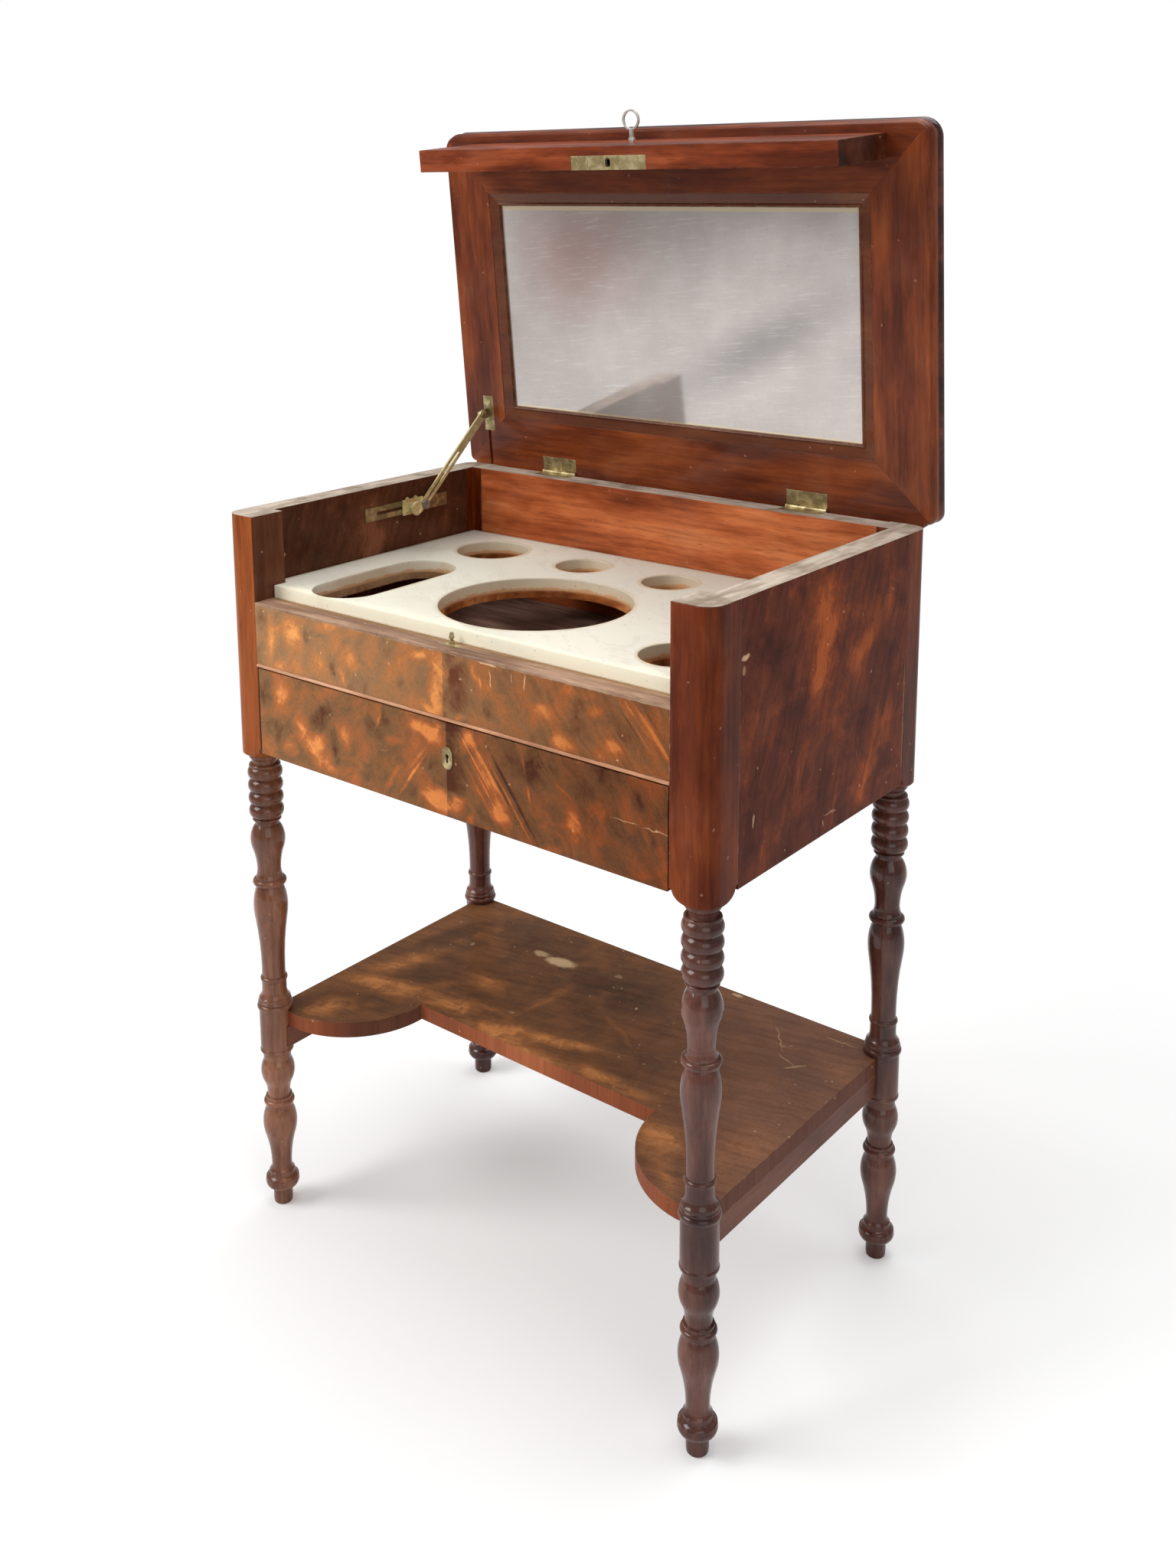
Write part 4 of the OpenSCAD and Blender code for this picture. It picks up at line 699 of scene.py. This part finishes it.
    def _fibred(self, colour: Socket, lines: Socket, pores: Socket) -> Socket:
        """Returns the colour with dark and light fibres, and darker to the right where the finish fades."""
        g, f = self.g, self.f
        deep = f.fibre
        if f.mirrored:
            deep = g.times(g.span(self.x, 0.0, 0.24), f.fibre, f.fibre * 0.4)
        colour = g.stained(
            colour,
            (g.span(lines, 0.60, 0.32), deep, (0.40, 0.28, 0.22)),
            (g.times(g.span(lines, 0.56, 0.75), 0.5), deep, (1.7, 1.6, 1.45)),
            (g.span(pores, 0.42, 0.28), deep, (0.40, 0.30, 0.24)), blend="MULTIPLY")
        if f.fade:
            across = g.mix(g.span(self.x, -0.30, 0.30), (1.14, 1.08, 1.0), (0.66, 0.44, 0.31))
            colour = g.mix(1.0, colour, across, "MULTIPLY")
        if self.plane is not None:
            speck = g.span(g.noise(self.plane, SPECK), 0.50, 0.30)
            colour = g.stained(colour, (speck, 0.45, (0.55, 0.45, 0.36)), blend="MULTIPLY")
        return colour

    def _worn(self, colour: Socket, polish: Socket, edge: Socket) -> Socket:
        """Returns the colour with uneven polish, small knocks, marks and rubbed edges."""
        g, f = self.g, self.f
        knocks = g.spots(g.warped(self.here, 60.0, 0.01), 48.0, 0.085)
        colour = g.stained(colour, (g.span(polish, 0.50, 0.80), 0.10, tint(158, 122, 100)), (knocks, 0.45, f.worn))
        if f.marks:
            ragged = g.warped(self.plane, 110.0, 0.007)
            colour = g.stained(colour, *((g.patch(ragged, mark, 0.5), mark.strength, f.worn) for mark in f.marks))
        rag = g.span(g.noise(self.here, RAG), 0.66 - 0.34 * f.wear, 0.80 - 0.2 * f.wear)
        return g.stained(colour, (g.times(edge, rag), f.wear, f.worn))

    def _bare(self) -> Socket:
        """Returns the colour of the bare grey wood on top of the case."""
        g, where = self.g, self.where
        along = (1.0, 7.0, 1.0) if self.f.grain is Grain.X else (7.0, 1.0, 1.0)
        lines = g.span(g.noise(g.vector("MULTIPLY", where, along), BARE_LINES), 0.30, 0.66)
        grey = g.mix(lines, tint(156, 138, 122), tint(200, 186, 170))
        return g.stained(grey, (g.span(g.noise(where, DIRT), 0.50, 0.66), 0.65, tint(116, 99, 80)))


class Paint:
    """Makes the materials, each once."""

    def __init__(self) -> None:
        """Starts with no materials."""
        self.made: dict[str, bpy.types.Material] = {}

    def of(self, finish: WoodFinish | MetalFinish) -> bpy.types.Material:
        """Returns the material of a finish, and makes it the first time."""
        if finish.name not in self.made:
            wooden = isinstance(finish, WoodFinish)
            self.made[finish.name] = Timber(finish).make() if wooden else self._metal(finish)
        return self.made[finish.name]

    def _metal(self, f: MetalFinish) -> bpy.types.Material:
        """Makes an aged metal material.

        Args:
            f: The finish.

        Returns:
            The material.
        """
        g = Graph(f.name)
        where = g.coords()
        tarnish = g.noise(where, Noise(f.scale, 3.0, 0.55, 0.5))
        scratch = g.noise(g.vector("MULTIPLY", where, (1.0, 9.0, 4.0)), Noise(f.scale * 3.0, 2.0))
        normal, edge = g.edges(METAL_EDGE)
        colour = g.mix(g.span(tarnish, 0.30, 0.62), f.bright, f.dull)
        g.set("Base Color", g.stained(colour, (edge, 0.7, f.bright)))
        g.set("Metallic", f.metallic)
        g.set("Roughness", g.math("ADD", f.rough, g.times(g.span(tarnish, 0.3, 0.7), 0.2)))
        g.bump(g.math("ADD", scratch, tarnish), METAL_RELIEF, normal)
        return g.material

    def marble(self) -> bpy.types.Material:
        """Makes the worn white marble.

        Returns:
            The material.
        """
        g = Graph("worn_marble")
        where = g.coords()
        x, y, z = g.parts(where)
        cloud = g.noise(where, MARBLE_CLOUD)
        veins = g.noise(g.vector("MULTIPLY", g.turn(where, (0.0, 0.0, 0.5)), (1.0, 3.0, 1.0)), MARBLE_VEIN)
        veins = g.span(g.math("ABSOLUTE", g.math("SUBTRACT", veins, 0.5)), 0.018, 0.0)
        wander = g.times(g.math("SUBTRACT", g.noise(where, MARBLE_WANDER), 0.5), 0.030)
        flat = g.warped(g.join(x, 0.0, y), 30.0, 0.008)
        rings = 0.0
        for hole in HOLES:
            rings = g.math("MAXIMUM", rings, g.patch(flat, hole, 0.93))
        # walls of the holes: below the top and behind the slab's front face
        walls = g.times(g.span(z, MARBLE_TOP - 0.0012, MARBLE_TOP - 0.005),
                        g.span(y, MARBLE_FRONT, MARBLE_FRONT + 0.0013))
        ragged = g.times(g.noise(where, MARBLE_CHIPS), 0.010, z)
        lower = g.times(g.span(ragged, MARBLE_TOP - 0.004, MARBLE_TOP - 0.0065), walls)
        joint = g.math("MAXIMUM", g.span(g.math("ABSOLUTE", x), 0.281, 0.288), g.span(y, 0.161, 0.167))
        normal, edge = g.edges(MARBLE_EDGE)
        colour = g.stained(
            g.mix(g.span(cloud, 0.36, 0.66), tint(240, 236, 220), tint(226, 222, 206)),
            (g.span(g.times(x, 0.8, y), -0.12, 0.22), 0.7, tint(212, 208, 194)),
            (veins, 0.12, tint(150, 148, 140)),
            (g.span(g.math("ADD", y, wander), -0.158, -0.172), 0.85, tint(255, 250, 224)),
            (rings, 0.5, tint(204, 178, 140)),
            (walls, 0.45, tint(222, 198, 158)),
            (lower, 0.85, tint(212, 156, 104)),
            (joint, 0.5, tint(150, 124, 96)),
            (g.span(g.noise(where, MARBLE_STAIN), 0.57, 0.72), 0.32, tint(186, 174, 146)),
            (g.spots(g.warped(where, 90.0, 0.006), 95.0, 0.11), 0.5, tint(128, 108, 80)),
            (edge, 0.45, tint(248, 240, 206)))
        g.set("Base Color", colour)
        g.set("Roughness", g.math("ADD", 0.34, g.times(cloud, 0.2)))
        g.set("Specular IOR Level", 0.4)
        g.bump(g.noise(where, MARBLE_GRAIN), MARBLE_RELIEF, normal)
        return g.material

    def mirror(self) -> bpy.types.Material:
        """Makes the foxed and hazy mirror glass, with a painted pinkish reflection at its upper left.

        Returns:
            The material.
        """
        g = Graph("foxed_mirror")
        where = g.coords(in_lid=True)
        x, y, _ = g.parts(where)
        flat = g.join(x, 0.0, g.times(y, -1.0))
        haze = g.noise(g.warped(flat, 4.0, 0.06), HAZE)
        brush = g.noise(g.local(flat, (0.0, 0.0), 84.0, (1 / 16, 1.0)), BRUSH)
        side = g.span(g.math("ABSOLUTE", x), GLASS_HALF_X - GLASS_RIM, GLASS_HALF_X)
        end = g.span(g.math("ABSOLUTE", g.math("ADD", y, -GLASS_Y)), GLASS_HALF_Y - GLASS_RIM, GLASS_HALF_Y)
        colour = g.stained(
            g.mix(g.span(haze, 0.32, 0.70), tint(188, 180, 176), tint(214, 206, 202)),
            (g.patch(flat, Patch(110, 170, 46, 190, lean=62), 0.0), 0.55, tint(120, 120, 122)),
            # painted reflection: a pinkish patch at the upper left for the room seen in the glass
            (g.patch(g.warped(flat, 8.0, 0.05), Patch(-130, 270, 150, 110), 0.1), 0.6, tint(176, 138, 130)),
            (g.span(brush, 0.52, 0.72), 0.42, tint(232, 230, 226)),
            (g.span(g.noise(flat, GRIT), 0.52, 0.30), 0.12, tint(140, 132, 130)),
            (g.spots(where, 80.0, 0.07), 0.3, tint(116, 110, 106)),
            (g.math("MAXIMUM", side, end), 0.8, tint(226, 206, 172)))
        g.set("Base Color", colour)
        g.set("Metallic", g.math("SUBTRACT", 0.52, g.times(g.span(haze, 0.35, 0.75), 0.18)))
        g.set("Roughness", g.times(g.span(haze, 0.25, 0.7), 0.05, 0.03))
        g.set("Specular IOR Level", 0.3)
        return g.material


def dress(nodes: Iterable[str], material: bpy.types.Material) -> None:
    """Gives CAD nodes one material.

    Args:
        nodes: Names of the nodes.
        material: The material.
    """
    for name in nodes:
        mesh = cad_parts[name].data
        if not mesh.materials:
            mesh.materials.append(material)
        for i in range(len(mesh.materials)):
            mesh.materials[i] = material
        LOG.info("dressed %s with %s", name, material.name)


def deselect() -> None:
    """Leaves no object selected."""
    for o in bpy.context.selected_objects:
        o.select_set(False)


def settle(piece: bpy.types.Object, body: str, material: bpy.types.Material) -> None:
    """Puts a piece's place into its mesh, paints it and hangs it on a CAD body.

    Args:
        piece: The new object.
        body: Name of the CAD body that carries it.
        material: The material.
    """
    piece.data.transform(piece.matrix_world)
    piece.matrix_world = Matrix.Identity(4)
    piece.data.materials.clear()
    piece.data.materials.append(material)
    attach(piece, body)
    LOG.info("built %s on %s", piece.name, body)


@dataclass
class Part:
    """A sub-assembly whose CAD nodes are dressed by a table.

    Attributes:
        paint: Maker of materials.
        looks: Finish of each group of nodes, by their names.
    """

    paint: Paint
    looks: ClassVar[dict[str, WoodFinish | MetalFinish]] = {}

    def build(self) -> None:
        """Dresses each group of nodes."""
        for nodes, finish in self.looks.items():
            dress(nodes.split(), self.paint.of(finish))


@dataclass
class Carcass(Part):
    """Legs, case, boards, shelf and marble."""

    looks = {
        "leg_front_right leg_back_left leg_back_right": LEG_WOOD,
        "leg_front_left": LEG_LEFT_LIT_WOOD,
        "side_left side_right": SIDE_WOOD,
        "back_panel": BACK_WOOD,
        "front_panel": FRONT_WOOD,
        "front_bead": BEAD_PAINTED_HIGHLIGHT,
        "ledge": LEDGE_WOOD,
        "dustboard": DUST_BOARD_PAINTED_LIGHT,
        "drawer_kickers drawer_runners sub_bearers sub_board": PLAIN_WOOD,
        "shelf": SHELF_WOOD,
        "shelf_rails": RAIL_WOOD,
    }

    def build(self) -> None:
        """Dresses the wooden pieces and the marble."""
        super().build()
        dress(("marble",), self.paint.marble())


@dataclass
class HoleRims(Part):
    """Rough wooden rims that show below the marble's round holes.

    Attributes:
        circles: Centre X, centre Y and radius of each round hole, in metres.
        depth: How far a rim reaches into its hole at most, in metres.
        gap: Distance that a rim keeps from the hole's wall, in metres.
        slack: How much thinner than the board a rim is, in metres.
        count: Number of points round a rim.
        waves: Number of waves that make up the rag.
        seed: Seed of the first rim's rag. Each further rim's is one higher.
    """

    circles: dict[str, tuple[float, float, float]] = field(default_factory=lambda: {
        "rim_basin": (0.0, -0.052, 0.103),
        "rim_jug": (-0.195, 0.099, 0.043),
        "rim_cup_left": (-0.061, 0.103, 0.031),
        "rim_cup_right": (0.061, 0.103, 0.031),
        "rim_glass": (0.222, -0.110, 0.038),
    })
    depth: float = 0.0035
    gap: float = 0.0002
    slack: float = 0.0008
    count: int = 96
    waves: int = 9
    seed: int = 100

    def build(self) -> None:
        """Builds one ring for each round hole."""
        material = self.paint.of(RIM_WOOD)
        for i, (name, circle) in enumerate(self.circles.items()):
            ring = self._ring(name, circle)
            self._tear(ring, circle[2], random.Random(self.seed + i))
            settle(ring, "case", material)

    def _ring(self, name: str, circle: Point) -> bpy.types.Object:
        """Builds a plain ring in a hole.

        Args:
            name: Name of the piece.
            circle: Centre X, centre Y and radius of the hole, in metres.

        Returns:
            The ring, in edit mode.
        """
        x, y, r = circle
        deselect()
        bpy.ops.mesh.primitive_cylinder_add(
            vertices=self.count, radius=r - self.gap, depth=BOARD_T - self.slack, end_fill_type="NGON",
            location=(x, y, BOARD_TOP - BOARD_T / 2))
        ring = bpy.context.object
        ring.name = name
        bpy.ops.object.mode_set(mode="EDIT")
        bpy.ops.mesh.select_mode(type="FACE")
        mesh = bmesh.from_edit_mesh(ring.data)
        for f in mesh.faces:
            f.select = abs(f.normal.z) > 0.9
        bmesh.update_edit_mesh(ring.data)
        bpy.ops.mesh.inset(thickness=self.depth * 0.6, use_individual=True)
        mesh = bmesh.from_edit_mesh(ring.data)
        caps = [f for f in mesh.faces if abs(f.normal.z) > 0.9 and len(f.verts) == self.count]
        bmesh.ops.bridge_loops(mesh, edges=[e for f in caps for e in f.edges])
        bmesh.ops.delete(mesh, geom=caps, context="FACES_ONLY")
        return ring

    def _tear(self, ring: bpy.types.Object, r: float, rag: random.Random) -> None:
        """Makes a ring's inner edge ragged and leaves edit mode.

        Args:
            ring: The ring, in edit mode.
            r: Radius of the hole.
            rag: Source of the rag.
        """
        mesh = bmesh.from_edit_mesh(ring.data)
        waves = [(rag.uniform(2, 40), rag.uniform(0, 6.28), rag.uniform(0.1, 0.5)) for _ in range(self.waves)]
        for v in mesh.verts:
            flat = Vector((v.co.x, v.co.y, 0.0))
            if flat.length < r - self.depth * 0.4:
                angle = math.atan2(v.co.y, v.co.x)
                wave = sum(a * math.sin(round(n) * angle + p) for n, p, a in waves) / 3.0
                flat.length = r - self.depth * (0.62 + 0.36 * max(-1.0, min(1.0, wave)))
                v.co.x, v.co.y = flat.x, flat.y
        bmesh.ops.recalc_face_normals(mesh, faces=mesh.faces)
        bmesh.update_edit_mesh(ring.data)
        bpy.ops.object.mode_set(mode="OBJECT")


@dataclass
class Lid(Part):
    """Lid with its mirror, front board, lock and hinges."""

    looks = {
        "lid_board": LID_BOARD,
        "lid_stiles": LID_STILE,
        "lid_rails": LID_RAIL,
        "lid_apron": APRON_WOOD,
        "mirror_moulding": MOULD_WOOD,
        "mirror_back": PLAIN_WOOD,
        "lock_plate lock_plate_screws lock_bolt": BRASS,
        "hinge_lid_leaves hinge_lid_screws hinge_case_leaves hinge_case_screws": BRASS,
        "lock_case hinge_pins": STEEL,
        "key": PALE_STEEL,
    }

    def build(self) -> None:
        """Dresses the lid and its mirror."""
        super().build()
        dress(("mirror_glass",), self.paint.mirror())


@dataclass
class Drawer(Part):
    """Drawer with its escutcheon and lock."""

    looks = {
        "drawer_front": DRAWER_WOOD,
        "drawer_sides drawer_back drawer_bottom": PLAIN_WOOD,
        "escutcheon": BRASS,
        "drawer_lock": STEEL,
    }


@dataclass
class Stay(Part):
    """Brass stay on the left wall, and the peg that the lid's lock takes."""

    looks = {
        "stay_plate stay_plate_screws stay_bracket stay_bracket_screws lock_peg": BRASS,
        "stay_arm stay_saddle thumbscrew": BRASS_BRIGHT,
        "stay_stud": STEEL,
    }


@dataclass
class Studio:
    """Camera, lights and floor.

    Attributes:
        place: Camera position, in metres.
        yaw: Turn from +Y towards -X, in radians.
        pitch: Turn downward, in radians.
        roll: Turn about the view, in radians.
        focal: Focal length, in pixels of the image.
        image: Width and height of the image, in pixels.
        centre: Pixel that the view's axis meets.
        sensor: Width of the camera's sensor, in millimetres.
        clip: Nearest and farthest distance that the camera sees, in metres.
        floor: Side of the floor, in metres.
        grey: The floor's own brightness.
        glow: Light that the floor adds for the camera alone, so that it reads white.
        white: Distances from the object over which the floor turns white, in metres.
        sky: Brightness of the surroundings for all but the camera.
        aim: Point that the lights look at, in metres.
        lights: Place in metres, side in metres and power in watts of each light.
    """

    place: Point = (1.0185, -1.2545, 1.1924)
    yaw: float = 0.6875
    pitch: float = 0.1844
    roll: float = -0.0071
    focal: float = 2028.9
    image: tuple[int, int] = (1536, 2048)
    centre: tuple[float, float] = (729.1, 617.05)
    sensor: float = 36.0
    clip: tuple[float, float] = (0.05, 60.0)
    floor: float = 40.0
    grey: float = 0.86
    glow: float = 0.16
    white: tuple[float, float] = (0.50, 1.15)
    sky: float = 0.4
    aim: Point = (0.0, 0.0, 0.6)
    lights: dict[str, tuple[Point, float, float]] = field(default_factory=lambda: {
        "key": ((-2.2, -2.6, 3.2), 2.2, 118.0),
        "fill": ((2.8, -2.2, 2.0), 2.4, 26.0),
        "top": ((0.2, 0.6, 3.4), 2.6, 62.0),
    })

    def build(self) -> None:
        """Sets up the camera, the floor, the surroundings and the lights."""
        self._camera()
        self._floor()
        self._world()
        for name in self.lights:
            self._light(name)
        bpy.context.scene.view_settings.view_transform = "Standard"

    def _camera(self) -> None:
        """Places the camera where the photograph was taken from."""
        sin_yaw, cos_yaw = math.sin(self.yaw), math.cos(self.yaw)
        level = math.cos(self.pitch)
        forward = Vector((-sin_yaw * level, cos_yaw * level, -math.sin(self.pitch)))
        right = Vector((cos_yaw, sin_yaw, 0.0))
        up = right.cross(forward)
        r = math.cos(self.roll) * right + math.sin(self.roll) * up
        u = -math.sin(self.roll) * right + math.cos(self.roll) * up
        width, height = self.image
        data = bpy.data.cameras.new("camera")
        data.sensor_width = self.sensor
        data.sensor_fit = "AUTO"
        data.lens = self.focal * self.sensor / height
        data.shift_x = (width / 2 - self.centre[0]) / height
        data.shift_y = (self.centre[1] - height / 2) / height
        data.clip_start, data.clip_end = self.clip
        camera = bpy.data.objects.new("camera", data)
        bpy.context.scene.collection.objects.link(camera)
        camera.matrix_world = Matrix.Translation(self.place) @ Matrix((r, u, -forward)).transposed().to_4x4()
        bpy.context.scene.camera = camera

    def _floor(self) -> None:
        """Lays a plain pale floor that turns white away from the object."""
        deselect()
        bpy.ops.mesh.primitive_plane_add(size=self.floor)
        floor = bpy.context.object
        floor.name = "floor"
        g = Graph("pale_floor")
        g.set("Base Color", (self.grey, self.grey, self.grey))
        g.set("Roughness", 0.9)
        g.set("Specular IOR Level", 0.1)
        away = g.vector("LENGTH", g.vector("SUBTRACT", g.coords(), (0.05, 0.05, 0.0)))
        seen = g.node("LightPath", {}, "Is Camera Ray")
        glow = g.node("Emission", {"Strength": g.times(seen, self.glow)})
        near = g.node("AddShader", {0: g.shader.outputs[0], 1: glow})
        far = g.times(g.span(away, *self.white), seen)
        g.put(g.out.inputs["Surface"], g.node("MixShader", {0: far, 1: near, 2: g.node("Emission", {})}))
        floor.data.materials.append(g.material)

    def _world(self) -> None:
        """Makes the surroundings white to the camera and softly grey to the object."""
        world = bpy.data.worlds.new("studio")
        world.use_nodes = True
        sky = Nodes(world.node_tree)
        back = sky.tree.nodes["Background"]
        rays = (sky.node("LightPath", {}, f"Is {kind} Ray") for kind in ("Camera", "Transmission"))
        seen = sky.math("MAXIMUM", *rays)
        sky.put(back.inputs["Color"], (1.0, 1.0, 1.0))
        sky.put(back.inputs["Strength"], sky.node("MapRange", {"Value": seen, "To Min": self.sky, "To Max": 1.0}))
        bpy.context.scene.world = world

    def _light(self, name: str) -> None:
        """Adds one of the soft area lights."""
        place, side, power = self.lights[name]
        data = bpy.data.lights.new(name, "AREA")
        data.size = side
        data.energy = power
        light = bpy.data.objects.new(name, data)
        light.location = place
        light.rotation_euler = (Vector(self.aim) - Vector(place)).to_track_quat("-Z", "Y").to_euler()
        bpy.context.scene.collection.objects.link(light)


def main() -> None:
    """Builds the scene, part by part."""
    logging.basicConfig(level=logging.INFO, format="%(message)s")
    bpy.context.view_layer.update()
    paint = Paint()
    for part in (Carcass(paint), HoleRims(paint), Lid(paint), Drawer(paint), Stay(paint), Studio()):
        LOG.info("building %s", type(part).__name__)
        part.build()


if __name__ == "__main__":
    main()
